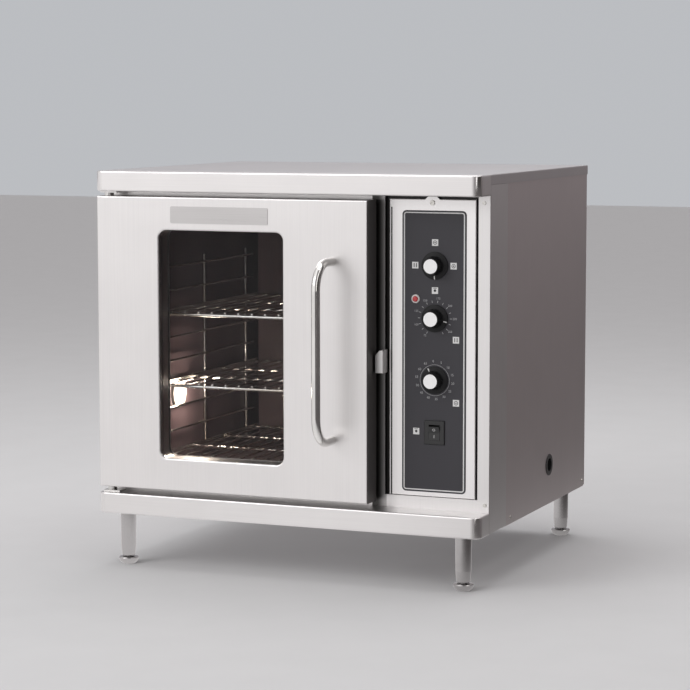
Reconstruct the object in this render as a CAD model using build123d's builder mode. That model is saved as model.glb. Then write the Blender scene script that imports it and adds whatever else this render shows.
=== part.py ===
from build123d import *
import os
from math import cos, degrees, radians, sin, sqrt

os.makedirs("parts", exist_ok=True)

# Half-size countertop convection oven. Millimetres, +Z up, the front faces -Y.
# The origin is on the table, under the middle of the whole width and depth.

# Body
body_width = 768.0
body_depth = 594.4
body_height = 648.8
leg_height = 101.6
skin = 1.2
frame_sheet = 1.5
pan_sheet = 2.0
seat = 0.3
lip_height = 18.0
return_depth = 94.0

# Bands across the front, above and below the door
band_reach = 55.0
top_band_height = 38.0
bottom_band_height = 39.4
band_sheet = 1.5
band_corner = 17.0
band_edge = 3.0

# Cavity, and the spaces round it
cavity_width = 391.0
cavity_floor_rise = 72.4
cavity_roof_drop = 68.4
cavity_corner = 14.0
liner_sheet = 1.5
liner_flange = 12.0
rear_space = 74.4
wall_insulation = 33.0
insulation_margin = 4.0

# Door
door_overlap = 78.5
door_side_gap = 5.0
door_top_gap = 8.8
door_bottom_gap = 11.6
door_reach = 54.4
door_depth = 44.0
door_sheet = 1.2
door_edge = 2.5
window_left = 129.0
window_right = 167.0
window_top = 62.1
window_bottom = 61.4
window_corner = 15.0
window_recess = 11.0
window_rim = 5.0
window_bevel = 3.5
glass = 4.0
glass_overlap = 9.0
gasket_width = 12.0
gasket_clear = 0.4

# Handle
handle_d = 16.0
handle_reach = 75.0
handle_bend = 48.0
handle_length = 326.0
handle_drop = 111.6
handle_inset = 69.0

# Hinge pins
hinge_inset = 14.0
hinge_back = 30.0
hinge_pin_d = 10.0
hinge_collar_d = 18.0
hinge_engage = 24.0
hinge_block = 24.0
hinge_plate = (34.0, 26.0, 3.0)
stud_length = 8.0
running = 0.05

# Control bay and panel
jamb_width = 13.0
shadow_gap = 7.6
column_width = 23.0
panel_right_gap = 4.0
sill_height = 23.0
panel_foot_gap = 0.5
panel_top_gap = 6.9
panel_depth = 7.7
panel_sheet = 1.2
panel_edge = 2.0
ledge_width = 13.0
tab_width = 22.0
tab_height = 6.0
overlay_left = 26.1
overlay_right = 18.4
overlay_bottom = 8.5
overlay_top = 20.5
overlay_corner = 8.0
overlay_sheet = 0.8
control_offset = 1.6

# Controls, by height above the foot of the panel
function_height = 421.5
thermostat_height = 326.2
timer_height = 213.9
rocker_height = 118.5
light_height = 360.5
light_offset = 37.0
light_d = 16.0
lens_d = 10.5
knob_skirt_d = 50.0
knob_skirt = 3.0
knob_grip_d = 34.0
knob_nose_d = 28.0
knob_length = 24.0
knob_flutes = 12
knob_flute_d = 5.0
knob_clear = 0.7
spindle_d = 6.0
bush_d = 9.5
switch_size = 42.0
bezel = (39.0, 44.0, 2.5)
rocker_size = (20.5, 26.0)
rocker_throw = 16.0
rocker_pivot_d = 3.0

# Wire racks and their guides
rack_levels = ("lower", "middle", "upper")
rack_rail_step = 3
rail_count = 9
rail_pitch = 45.5
rail_first = 26.0
rail_d = 5.0
upright_d = 6.0
weld = 0.5
rack_rod_d = 6.5
rack_wire_d = 4.0
rack_wire_pitch = 27.5
rack_corner = 14.0
rack_front_gap = 12.0
rack_back_gap = 8.0

# Fan space
fan_space = 58.0
baffle_sheet = 1.5
baffle_side_gap = 18.0
baffle_end_gap = 12.0
inlet_radii = (26.0, 48.0, 70.0)
inlet_slots = (5, 9, 13)
inlet_slot = 14.0
inlet_spoke = 8.0
baffle_fold = 8.0
wheel_d = 176.0
wheel_inner_d = 124.0
wheel_depth = 32.0
wheel_sheet = 1.5
wheel_blades = 18
blade_lean = 28.0
hub_d = 26.0
shaft_d = 12.0
element_d = 8.0
element_rings = (104.0, 122.0)
element_gap_angle = 24.0
motor_d = 132.0
motor_plate = 230.0
motor_back_gap = 5.0

# Lamp, probe and supply entry
lamp_depth = 124.0
lamp_rise = 140.0
lamp_d = 58.0
lens_rise = 4.5
bulb_d = 26.0
lamp_well = 50.0
probe_d = 9.5
probe_length = 120.0
probe_drop = 52.0
capillary_d = 3.0
entry_depth = 358.0
entry_rise = 76.4
entry_hole_d = 35.0
entry_bore_d = 26.0
entry_flange_d = 42.0

# Legs and feet
leg_inset = 44.0
leg_front = -14.0
leg_back_inset = 20.0
leg_top_d = 30.0
leg_waist_d = 29.0
leg_end_d = 25.5
leg_waist = 36.0
foot_height = 14.0
foot_gap = 1.5
foot_d = 38.0
foot_sole_d = 24.0
foot_stem_d = 14.0
foot_stem = 52.0
leg_stud_d = 12.0

# Catch
catch_rise = 257.4
catch_height = 42.0
catch_reach = 24.0
catch_width = 15.5
catch_sheet = 1.5
catch_gap = 2.6

# Planes and lines worked out from the sizes above
front_stack = door_reach + handle_reach + handle_d / 2
front_y = (front_stack - body_depth) / 2
half = body_width / 2
base_z = leg_height
roof_z = base_z + body_height
sill_z = base_z + bottom_band_height
lintel_z = roof_z - top_band_height
door_width = cavity_width + 2 * door_overlap
door_x0 = -half + door_side_gap
door_x1 = door_x0 + door_width
door_z0 = sill_z + door_bottom_gap
door_z1 = lintel_z - door_top_gap
cavity_x0 = door_x0 + door_overlap
cavity_x1 = cavity_x0 + cavity_width
cavity_x = (cavity_x0 + cavity_x1) / 2
cavity_z0 = base_z + cavity_floor_rise
cavity_z1 = roof_z - cavity_roof_drop
cavity_z = (cavity_z0 + cavity_z1) / 2
cavity_height = cavity_z1 - cavity_z0
cavity_back = body_depth - rear_space
baffle_front = cavity_back - fan_space
bay_x0 = door_x1 + jamb_width
bay_x1 = half - column_width
bay_z0 = sill_z + sill_height
bay_z1 = lintel_z
panel_x0 = bay_x0 + shadow_gap
panel_x1 = bay_x1 - panel_right_gap
panel_z0 = bay_z0 + panel_foot_gap
panel_z1 = bay_z1 - panel_top_gap
overlay_x0 = panel_x0 + overlay_left
overlay_x1 = panel_x1 - overlay_right
overlay_z0 = panel_z0 + overlay_bottom
overlay_z1 = panel_z1 - overlay_top
control_x = (overlay_x0 + overlay_x1) / 2 + control_offset
wall_x = cavity_x1 + liner_sheet + wall_insulation
fan_z = cavity_z
panel_side_x = half - skin - seat
window_x = (door_x0 + window_left + door_x1 - window_right) / 2
window_z = (door_z0 + window_bottom + door_z1 - window_top) / 2
window_width = door_width - window_left - window_right
window_height = door_z1 - door_z0 - window_top - window_bottom


def at(depth):
    """The Y of a point so far behind the front plane of the body."""
    return front_y + depth


def facing(depth):
    """A plane that faces the front: local x is X, local y is Z."""
    return Plane.XZ.offset(-at(depth))


def turned(x, depth, z):
    """A plane for a profile turned about a line from back to front: local y runs forwards."""
    return Plane(origin=(x, at(depth), z), x_dir=(1, 0, 0), z_dir=(0, 0, -1))


def upright(x, depth):
    """A plane for a profile turned about a vertical line: local x is the radius, local y is Z."""
    return Plane(origin=(x, at(depth), 0), x_dir=(1, 0, 0), z_dir=(0, -1, 0))


def slab(xs, depths, zs, mode=Mode.ADD):
    """A block between two values along each axis, in the part being built."""
    middle = ((xs[0] + xs[1]) / 2, at((depths[0] + depths[1]) / 2), (zs[0] + zs[1]) / 2)
    with Locations(middle):
        Box(xs[1] - xs[0], depths[1] - depths[0], zs[1] - zs[0], mode=mode)


def rod(start, end, diameter, mode=Mode.ADD):
    """A round rod between two points given as x, depth and z, in the part being built."""
    a = Vector(start[0], at(start[1]), start[2])
    b = Vector(end[0], at(end[1]), end[2])
    with Locations(Plane(origin=a, z_dir=b - a).location):
        Cylinder(diameter / 2, (b - a).length, align=(Align.CENTER, Align.CENTER, Align.MIN), mode=mode)


def save(part, name):
    """Labels a finished piece and writes it to its own file."""
    part.label = name
    export_step(part, f"parts/{name}.step")


# Base pan: a tray with upturned sides that the walls and the insulation stand on
pan_half = half - 2 * skin - 2 * seat
pan_back = body_depth - skin - seat
flange_rise = 25.0
with BuildPart() as base_pan:
    slab((-pan_half, pan_half), (frame_sheet + seat, pan_back), (base_z, base_z + pan_sheet))
    for side in (-1, 1):
        edge = sorted((side * pan_half, side * (pan_half - pan_sheet)))
        slab(edge, (return_depth + 2, pan_back), (base_z, base_z + flange_rise))
    slab((-pan_half, pan_half), (pan_back - pan_sheet, pan_back), (base_z, base_z + flange_rise))
    with BuildSketch(Plane.XY.offset(base_z)):
        with Locations((-half + leg_inset, at(body_depth - leg_back_inset)),
                       (half - leg_inset, at(body_depth - leg_back_inset))):
            Circle(leg_stud_d / 2 + seat)
    extrude(amount=pan_sheet, mode=Mode.SUBTRACT)
base_pan.part.label = "base_pan"
export_step(base_pan.part, "parts/base_pan.step")

# Bands: folded channels with rounded ends, open to the back
hinge_x = door_x0 + hinge_inset
for name, z0, height, door_side in (
    ("bottom_band", base_z, bottom_band_height, sill_z),
    ("top_band", lintel_z, top_band_height, lintel_z),
):
    with BuildPart() as band:
        with BuildSketch(Plane.XY.offset(z0)):
            with Locations((0, at(-band_reach / 2 - seat / 2))):
                Rectangle(body_width, band_reach - seat)
        extrude(amount=height)
        front_corners = band.edges().filter_by(Axis.Z).group_by(Axis.Y)[0]
        fillet(front_corners, band_corner)
        rim = band.edges().filter_by(Plane.XY).filter_by(
            lambda e: e.center().Y < at(-seat) - 0.1)
        fillet(rim, band_edge)
        with BuildSketch(Plane.XY.offset(z0 + band_sheet)):
            with Locations((0, at(-band_reach / 2 + band_sheet / 2))):
                Rectangle(body_width - 2 * band_sheet, band_reach - band_sheet)
        extrude(amount=height - 2 * band_sheet, mode=Mode.SUBTRACT)
        with BuildSketch(Plane.XY.offset(door_side - band_sheet - 1)):
            with Locations((hinge_x, at(-hinge_back))):
                Circle(hinge_pin_d / 2 + seat)
        extrude(amount=2 * band_sheet + 2, mode=Mode.SUBTRACT)
        if name == "bottom_band":
            with BuildSketch(Plane.XY.offset(base_z)):
                with Locations((-half + leg_inset, at(leg_front)), (half - leg_inset, at(leg_front))):
                    Circle(leg_stud_d / 2 + seat)
            extrude(amount=band_sheet, mode=Mode.SUBTRACT)
    save(band.part, name)

# Side panels: one sheet each, the right one pierced for the supply entry
wall_back = body_depth - skin - seat
for name, side in (("side_panel_left", -1), ("side_panel_right", 1)):
    outer_x = side * panel_side_x
    with BuildPart() as side_panel:
        with BuildSketch(Plane.YZ.offset(outer_x)):
            with Locations((at((return_depth + seat + wall_back) / 2), (base_z + roof_z - skin - seat) / 2)):
                Rectangle(wall_back - return_depth - seat, body_height - skin - seat)
            if side == 1:
                with Locations((at(entry_depth), base_z + entry_rise)):
                    Circle(entry_hole_d / 2, mode=Mode.SUBTRACT)
        extrude(amount=-side * skin)
        foot_corner = side_panel.edges().filter_by(Axis.X).group_by(Axis.Y)[-1].sort_by(Axis.Z)[0]
        fillet(foot_corner, 10.0)
    save(side_panel.part, name)

# Roof: a sheet with lips that fold down over the side panels
with BuildPart() as top_cover:
    slab((-half, half), (0, body_depth), (roof_z - lip_height, roof_z))
    roof_edges = top_cover.edges().filter_by(Axis.Y).group_by(Axis.Z)[-1]
    fillet(roof_edges, 2.0)
    slab((-half + skin, half - skin), (-1, body_depth + 1), (roof_z - lip_height - 1, roof_z - skin),
         mode=Mode.SUBTRACT)
top_cover.part.label = "top_cover"
export_step(top_cover.part, "parts/top_cover.step")

# Back panel: louvre slots behind the motor and behind the control bay
louvre = (70.0, 6.0)
louvre_pitch = 20.0
louvre_rows = 8
with BuildPart() as back_panel:
    with BuildSketch(facing(body_depth)):
        with Locations((0, (base_z + roof_z - skin - seat) / 2)):
            RectangleRounded(body_width - 2 * skin - 2 * seat, body_height - skin - seat, 4.0)
        with Locations((cavity_x, fan_z), ((wall_x + half) / 2, fan_z)):
            with GridLocations(0, louvre_pitch, 1, louvre_rows):
                SlotOverall(louvre[0], louvre[1], mode=Mode.SUBTRACT)
    extrude(amount=skin)
back_panel.part.label = "back_panel"
export_step(back_panel.part, "parts/back_panel.step")

# Front frame: the face round the cavity and the control bay, with side returns and a sunk ledge
face_z0 = base_z + band_sheet + seat
face_z1 = roof_z - lip_height - seat
ledge_front = panel_depth + seat
with BuildPart() as front_frame:
    slab((-half, half), (0, frame_sheet), (face_z0, face_z1))
    for side in (-1, 1):
        edge = sorted((side * half, side * (half - frame_sheet)))
        slab(edge, (0, return_depth), (face_z0, face_z1))
    slab((bay_x0 - frame_sheet, bay_x1 + frame_sheet), (0, ledge_front + frame_sheet),
         (bay_z0 - frame_sheet, bay_z1 - seat))
    slab((bay_x0, bay_x1), (-1, ledge_front), (bay_z0, bay_z1), mode=Mode.SUBTRACT)
    slab((bay_x0 + ledge_width, bay_x1 - ledge_width + 3), (-1, return_depth),
         (bay_z0 + ledge_width, bay_z1 - 3 * ledge_width), mode=Mode.SUBTRACT)
    with BuildSketch(facing(-1)):
        with Locations((cavity_x, cavity_z)):
            RectangleRounded(cavity_width, cavity_height, cavity_corner)
    extrude(amount=-(frame_sheet + 2), mode=Mode.SUBTRACT)
    front_folds = front_frame.edges().filter_by(Axis.Z).filter_by(
        lambda e: abs(abs(e.center().X) - half) < 0.01 and e.center().Y < at(1))
    fillet(front_folds, 1.4)
front_frame.part.label = "front_frame"
export_step(front_frame.part, "parts/front_frame.step")

# Cavity liner: an enamelled box, open at the front, flanged behind the frame
liner_front = frame_sheet + seat
lens_z = cavity_z0 + lamp_rise
probe_z = cavity_z1 - probe_drop
probe_depth = baffle_front - 140.0
probe_x = cavity_x1 - seat - probe_d / 2 - 2.0
lamp_hole = lamp_d - 8.0
with BuildPart() as cavity_liner:
    with BuildSketch(facing(liner_front)):
        with Locations((cavity_x, cavity_z)):
            RectangleRounded(cavity_width + 2 * liner_sheet, cavity_height + 2 * liner_sheet,
                             cavity_corner + liner_sheet)
    extrude(amount=-(cavity_back + liner_sheet - liner_front))
    with BuildSketch(facing(liner_front)):
        with Locations((cavity_x, cavity_z)):
            RectangleRounded(cavity_width + 2 * liner_flange, cavity_height + 2 * liner_flange,
                             cavity_corner + liner_flange)
    extrude(amount=-liner_sheet)
    with BuildSketch(facing(liner_front)):
        with Locations((cavity_x, cavity_z)):
            RectangleRounded(cavity_width, cavity_height, cavity_corner)
    extrude(amount=-(cavity_back - liner_front), mode=Mode.SUBTRACT)
    with BuildSketch(facing(cavity_back - 1)):
        with Locations((cavity_x, fan_z)):
            Circle(shaft_d)
        for ring in element_rings:
            for side in (-1, 1):
                turn = radians(-90 + side * element_gap_angle / 2)
                with Locations((cavity_x + ring * cos(turn), fan_z + ring * sin(turn))):
                    Circle(element_d / 2 + seat)
    extrude(amount=-(liner_sheet + 2), mode=Mode.SUBTRACT)
    with BuildSketch(Plane.YZ.offset(cavity_x0 - liner_sheet - 1)):
        with Locations((at(lamp_depth), lens_z)):
            Circle(lamp_hole / 2)
    extrude(amount=liner_sheet + 2, mode=Mode.SUBTRACT)
    with BuildSketch(Plane.YZ.offset(cavity_x1 - 1)):
        with Locations((at(probe_depth), probe_z)):
            Circle(capillary_d / 2 + seat)
    extrude(amount=liner_sheet + 2, mode=Mode.SUBTRACT)
cavity_liner.part.label = "cavity_liner"
export_step(cavity_liner.part, "parts/cavity_liner.step")

# Insulation: mineral wool packed round the liner
wool_x0 = -half + 2 * skin + insulation_margin
wool_x1 = wall_x - seat
wool_front = liner_front + liner_sheet + seat
wool_back = cavity_back + liner_sheet + 24.0
with BuildPart() as insulation:
    slab((wool_x0, wool_x1), (wool_front, wool_back),
         (base_z + pan_sheet + seat, roof_z - skin - insulation_margin))
    with BuildSketch(facing(wool_front)):
        with Locations((cavity_x, cavity_z)):
            RectangleRounded(cavity_width + 2 * (liner_sheet + seat),
                             cavity_height + 2 * (liner_sheet + seat), cavity_corner + liner_sheet + seat)
    extrude(amount=-(cavity_back + liner_sheet + seat - wool_front), mode=Mode.SUBTRACT)
    with BuildSketch(facing(cavity_back)):
        with Locations((cavity_x, fan_z)):
            RectangleRounded(motor_plate + 6, motor_plate + 26, 20.0)
    extrude(amount=-(wool_back - cavity_back), mode=Mode.SUBTRACT)
    with BuildSketch(Plane.YZ.offset(cavity_x0)):
        with Locations((at(lamp_depth), lens_z)):
            Circle(lamp_d / 2 + 4)
    extrude(amount=-lamp_well, mode=Mode.SUBTRACT)
    with BuildSketch(Plane.YZ.offset(cavity_x1)):
        with Locations((at(probe_depth), probe_z)):
            Circle(capillary_d / 2 + 1)
    extrude(amount=wall_insulation + 5, mode=Mode.SUBTRACT)
insulation.part.label = "insulation"
export_step(insulation.part, "parts/insulation.step")

# Compartment wall: the sheet between the insulation and the controls
wall_top = roof_z - skin - seat
wall_end = pan_back - pan_sheet - seat
wall_foot = 14.0
with BuildPart() as compartment_wall:
    slab((wall_x, wall_x + skin), (ledge_front, wall_end), (base_z + pan_sheet, wall_top))
    for z in (base_z + pan_sheet, wall_top - skin):
        slab((wall_x, wall_x + wall_foot), (ledge_front + wall_foot, wall_end - wall_foot), (z, z + skin))
    with BuildSketch(Plane.YZ.offset(wall_x - 1)):
        with Locations((at(probe_depth), probe_z)):
            Circle(capillary_d / 2 + 1)
    extrude(amount=skin + 2, mode=Mode.SUBTRACT)
compartment_wall.part.label = "compartment_wall"
export_step(compartment_wall.part, "parts/compartment_wall.step")

# Door gasket: a ring round the cavity mouth that the shut door presses on
gasket_height = door_reach - door_depth - gasket_clear
with BuildPart() as door_gasket:
    with BuildSketch(facing(0)):
        with Locations((cavity_x, cavity_z)):
            RectangleRounded(cavity_width + 2 * (gasket_width + 3), cavity_height + 2 * (gasket_width + 3),
                             cavity_corner + gasket_width + 3)
            RectangleRounded(cavity_width + 6, cavity_height + 6, cavity_corner + 3, mode=Mode.SUBTRACT)
    extrude(amount=gasket_height)
    fillet(door_gasket.faces().sort_by(Axis.Y)[0].edges(), 4.0)
door_gasket.part.label = "door_gasket"
export_step(door_gasket.part, "parts/door_gasket.step")

# Rack guides: nine rails on three uprights each side
rail_x = seat + upright_d - weld + rail_d / 2
rail_front = 16.0
rail_back = baffle_front - 6.0
rail_z0 = cavity_z0 + rail_first
for name, wall, inward in (
    ("rack_guide_left", cavity_x0, 1),
    ("rack_guide_right", cavity_x1, -1),
):
    with BuildPart() as rack_guide:
        for depth in (rail_front + 26, (rail_front + rail_back) / 2, rail_back - 26):
            post_x = wall + inward * (seat + upright_d / 2)
            rod((post_x, depth, rail_z0 - 14), (post_x, depth, rail_z0 + (rail_count - 1) * rail_pitch + 14),
                upright_d)
        for step in range(rail_count):
            z = rail_z0 + step * rail_pitch
            x = wall + inward * rail_x
            rod((x, rail_front, z), (x, rail_back, z), rail_d)
    save(rack_guide.part, name)

# Wire racks: a bent rim, two cross rods and the wires welded over them
rod_x = seat + upright_d + 0.6 + rack_rod_d / 2
rest = (rail_d + rack_rod_d) / 2 + seat
rack_rise = sqrt(rest ** 2 - (rod_x - rail_x) ** 2)
rack_front = rack_front_gap + rack_rod_d / 2
rack_back = baffle_front - rack_back_gap - rack_rod_d / 2
rack_x0 = cavity_x0 + rod_x
rack_x1 = cavity_x1 - rod_x
wire_count = int((rack_x1 - rack_x0 - rack_rod_d) / rack_wire_pitch) + 1
for index, level in enumerate(rack_levels):
    rack_z = rail_z0 + index * rack_rail_step * rail_pitch + rack_rise
    with BuildPart() as rack:
        with BuildLine(Plane.XY.offset(rack_z)) as rim_line:
            FilletPolyline((rack_x0, at(rack_front)), (rack_x1, at(rack_front)), (rack_x1, at(rack_back)),
                           (rack_x0, at(rack_back)), radius=rack_corner, close=True)
        with BuildSketch(Plane(origin=rim_line.line @ 0, z_dir=rim_line.line % 0)):
            Circle(rack_rod_d / 2)
        sweep()
        for share in (1 / 3, 2 / 3):
            depth = rack_front + (rack_back - rack_front) * share
            rod((rack_x0, depth, rack_z), (rack_x1, depth, rack_z), rack_rod_d - 1)
        wire_z = rack_z + rack_rod_d / 2 + rack_wire_d / 2 - weld
        for wire in range(wire_count):
            x = cavity_x + (wire - (wire_count - 1) / 2) * rack_wire_pitch
            rod((x, rack_front - 2, wire_z), (x, rack_back + 2, wire_z), rack_wire_d)
    save(rack.part, f"rack_{level}")

# Rear baffle: a tray over the fan space, its inlet punched as rings of curved slots
baffle_half = cavity_width / 2 - baffle_side_gap
baffle_rise = cavity_height / 2 - baffle_end_gap
with BuildPart() as rear_baffle:
    with BuildSketch(facing(baffle_front)):
        with Locations((cavity_x, cavity_z)):
            RectangleRounded(2 * baffle_half, 2 * baffle_rise, 8.0)
    extrude(amount=-baffle_fold)
    with BuildSketch(facing(baffle_front + baffle_sheet)):
        with Locations((cavity_x, cavity_z)):
            RectangleRounded(2 * (baffle_half - baffle_sheet), 2 * (baffle_rise - baffle_sheet), 6.5)
    extrude(amount=-baffle_fold, mode=Mode.SUBTRACT)
    with BuildSketch(facing(baffle_front)):
        with Locations((cavity_x, fan_z)):
            for radius, count in zip(inlet_radii, inlet_slots):
                sweep_angle = 360 / count - degrees((inlet_spoke + inlet_slot) / radius)
                for slot in range(count):
                    SlotArc(CenterArc((0, 0), radius, slot * 360 / count, sweep_angle), inlet_slot)
    extrude(amount=-baffle_sheet, mode=Mode.SUBTRACT)
    for x in (cavity_x - baffle_half + 20, cavity_x + baffle_half - 20):
        for z in (cavity_z - baffle_rise + 20, cavity_z + baffle_rise - 20):
            rod((x, baffle_front + baffle_sheet, z), (x, cavity_back - seat, z), 10.0)
rear_baffle.part.label = "rear_baffle"
export_step(rear_baffle.part, "parts/rear_baffle.step")

# Heating elements: two tubular rings round the blower, their ends turned back through the wall
element_depth = cavity_back - 26.0
tail_end = cavity_back + liner_sheet + 30.0
with BuildPart() as heating_elements:
    for ring in element_rings:
        start = -90 + element_gap_angle / 2
        with BuildSketch(Plane(origin=(cavity_x + ring * cos(radians(start)), at(element_depth),
                                       fan_z + ring * sin(radians(start))),
                               z_dir=(-sin(radians(start)), 0, cos(radians(start))))):
            Circle(element_d / 2)
        revolve(axis=Axis((cavity_x, at(element_depth), fan_z), (0, -1, 0)),
                revolution_arc=360 - element_gap_angle)
        for side in (-1, 1):
            turn = radians(-90 + side * element_gap_angle / 2)
            end_x, end_z = cavity_x + ring * cos(turn), fan_z + ring * sin(turn)
            rod((end_x, element_depth, end_z), (end_x, tail_end, end_z), element_d)
            with Locations((end_x, at(element_depth), end_z)):
                Sphere(element_d / 2)
heating_elements.part.label = "heating_elements"
export_step(heating_elements.part, "parts/heating_elements.step")

# Motor plate: bolted behind the liner, it carries the motor
plate_front = cavity_back + liner_sheet + seat
with BuildPart() as motor_mount:
    with BuildSketch(facing(plate_front)):
        with Locations((cavity_x, fan_z)):
            RectangleRounded(motor_plate, motor_plate + 20, 16.0)
            Circle(shaft_d / 2 + 3, mode=Mode.SUBTRACT)
            for ring in element_rings:
                for side in (-1, 1):
                    turn = radians(-90 + side * element_gap_angle / 2)
                    with Locations((ring * cos(turn), ring * sin(turn))):
                        Circle(element_d / 2 + 1, mode=Mode.SUBTRACT)
    extrude(amount=-liner_sheet)
motor_mount.part.label = "motor_plate"
export_step(motor_mount.part, "parts/motor_plate.step")

# Blower motor: a round can with a front boss, rear bearing cap and four feet on the plate
motor_front = plate_front + liner_sheet + seat
motor_back = body_depth - skin - motor_back_gap
motor_length = motor_back - motor_front
shaft_tail = motor_front + 30.0
bore_end = shaft_tail + 1 - motor_front
with BuildPart() as blower_motor:
    with BuildSketch(turned(cavity_x, motor_front, fan_z)):
        with BuildLine():
            Polyline((shaft_d / 2 + running, 0), (26, 0), (26, -7), (motor_d / 2 - 6, -7),
                     (motor_d / 2, -13), (motor_d / 2, 14 - motor_length),
                     (motor_d / 2 - 8, 6 - motor_length), (22, 6 - motor_length),
                     (20, -motor_length), (0, -motor_length),
                     (0, -bore_end), (shaft_d / 2 + running, -bore_end), close=True)
        make_face()
    revolve(axis=Axis((cavity_x, at(motor_front), fan_z), (0, -1, 0)))
    with Locations(Plane(origin=(cavity_x, at(motor_front), fan_z), z_dir=(0, 1, 0)).location):
        with PolarLocations(motor_d / 2 - 8, 4, start_angle=45):
            Cylinder(6, 14, align=(Align.CENTER, Align.CENTER, Align.MIN))
blower_motor.part.label = "blower_motor"
export_step(blower_motor.part, "parts/blower_motor.step")

# Blower wheel: a back plate, leaning blades, a front ring and a hub on the shaft
wheel_front = baffle_front + 12.0
wheel_back = wheel_front + wheel_depth
wheel_mid = (wheel_d + wheel_inner_d) / 4
blade_chord = (wheel_d - wheel_inner_d) / 2 / cos(radians(blade_lean)) - 4
with BuildPart() as blower_wheel:
    with BuildSketch(facing(wheel_back)):
        with Locations((cavity_x, fan_z)):
            Circle(wheel_d / 2)
    extrude(amount=wheel_sheet)
    with BuildSketch(facing(wheel_front + wheel_sheet)):
        with Locations((cavity_x, fan_z)):
            Circle(wheel_d / 2)
            Circle(wheel_inner_d / 2, mode=Mode.SUBTRACT)
    extrude(amount=wheel_sheet)
    with BuildSketch(facing(wheel_back)):
        with Locations((cavity_x, fan_z)):
            with PolarLocations(wheel_mid, wheel_blades):
                Rectangle(blade_chord, wheel_sheet, rotation=blade_lean)
    extrude(amount=wheel_depth - wheel_sheet / 2)
    with BuildSketch(facing(wheel_back + 8)):
        with Locations((cavity_x, fan_z)):
            Circle(hub_d / 2)
    extrude(amount=26.0)
    with BuildSketch(facing(wheel_back + 9)):
        with Locations((cavity_x, fan_z)):
            Circle(shaft_d / 2 + running)
    extrude(amount=30.0, mode=Mode.SUBTRACT)
blower_wheel.part.label = "blower_wheel"
export_step(blower_wheel.part, "parts/blower_wheel.step")

# Motor shaft: from the wheel's hub into the motor
with BuildPart() as motor_shaft:
    with BuildSketch(facing(wheel_back - 20)):
        with Locations((cavity_x, fan_z)):
            Circle(shaft_d / 2)
    extrude(amount=-(shaft_tail - wheel_back + 20))
    chamfer(motor_shaft.edges(), 0.8)
motor_shaft.part.label = "motor_shaft"
export_step(motor_shaft.part, "parts/motor_shaft.step")

# Lamp: a bulb in its holder behind a round glass on the left wall of the cavity
bulb_x = cavity_x0 - liner_sheet - seat - bulb_d / 2
socket_x = bulb_x - bulb_d / 2 - 8
with BuildPart() as oven_lamp:
    with Locations((bulb_x, at(lamp_depth), lens_z)):
        Sphere(bulb_d / 2)
    rod((socket_x, lamp_depth, lens_z), (bulb_x, lamp_depth, lens_z), bulb_d * 0.7)
    rod((socket_x - 8, lamp_depth, lens_z), (socket_x, lamp_depth, lens_z), lamp_d - 4)
    with BuildSketch(Plane.YZ.offset(socket_x)):
        with Locations((at(lamp_depth), lens_z)):
            Circle(lamp_d / 2 - 2)
            Circle(lamp_d / 2 - 3.5, mode=Mode.SUBTRACT)
    extrude(amount=cavity_x0 - liner_sheet - seat - socket_x)
oven_lamp.part.label = "oven_lamp"
export_step(oven_lamp.part, "parts/oven_lamp.step")

with BuildPart() as lamp_lens:
    with BuildSketch(Plane.YZ.offset(cavity_x0 + seat)):
        with Locations((at(lamp_depth), lens_z)):
            Circle(lamp_d / 2)
    extrude(amount=lens_rise)
    fillet(lamp_lens.faces().sort_by(Axis.X)[-1].edges(), 2.5)
lamp_lens.part.label = "lamp_lens"
export_step(lamp_lens.part, "parts/lamp_lens.step")

# Temperature probe: a bulb on two clips, and its capillary through the wall to the thermostat
thermostat_x0 = control_x - switch_size / 2
capillary_depth = 20.0
capillary_x = wall_x + 20.0
capillary_z = panel_z0 + thermostat_height
with BuildPart() as temperature_probe:
    rod((probe_x, probe_depth - 6, probe_z), (probe_x, probe_depth + probe_length, probe_z), probe_d)
    for depth in (probe_depth + 18, probe_depth + probe_length - 18):
        slab((probe_x - probe_d / 2 - 1, cavity_x1 - seat), (depth - 4, depth + 4),
             (probe_z - probe_d / 2 - 1, probe_z + probe_d / 2 + 1))
    with BuildLine() as run:
        FilletPolyline((probe_x, at(probe_depth), probe_z),
                       (capillary_x, at(probe_depth), probe_z),
                       (capillary_x, at(capillary_depth), probe_z),
                       (capillary_x, at(capillary_depth), capillary_z),
                       (thermostat_x0 - seat, at(capillary_depth), capillary_z), radius=16.0)
    with BuildSketch(Plane(origin=run.line @ 0, z_dir=run.line % 0)):
        Circle(capillary_d / 2)
    sweep(path=run.line)
temperature_probe.part.label = "temperature_probe"
export_step(temperature_probe.part, "parts/temperature_probe.step")

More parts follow.
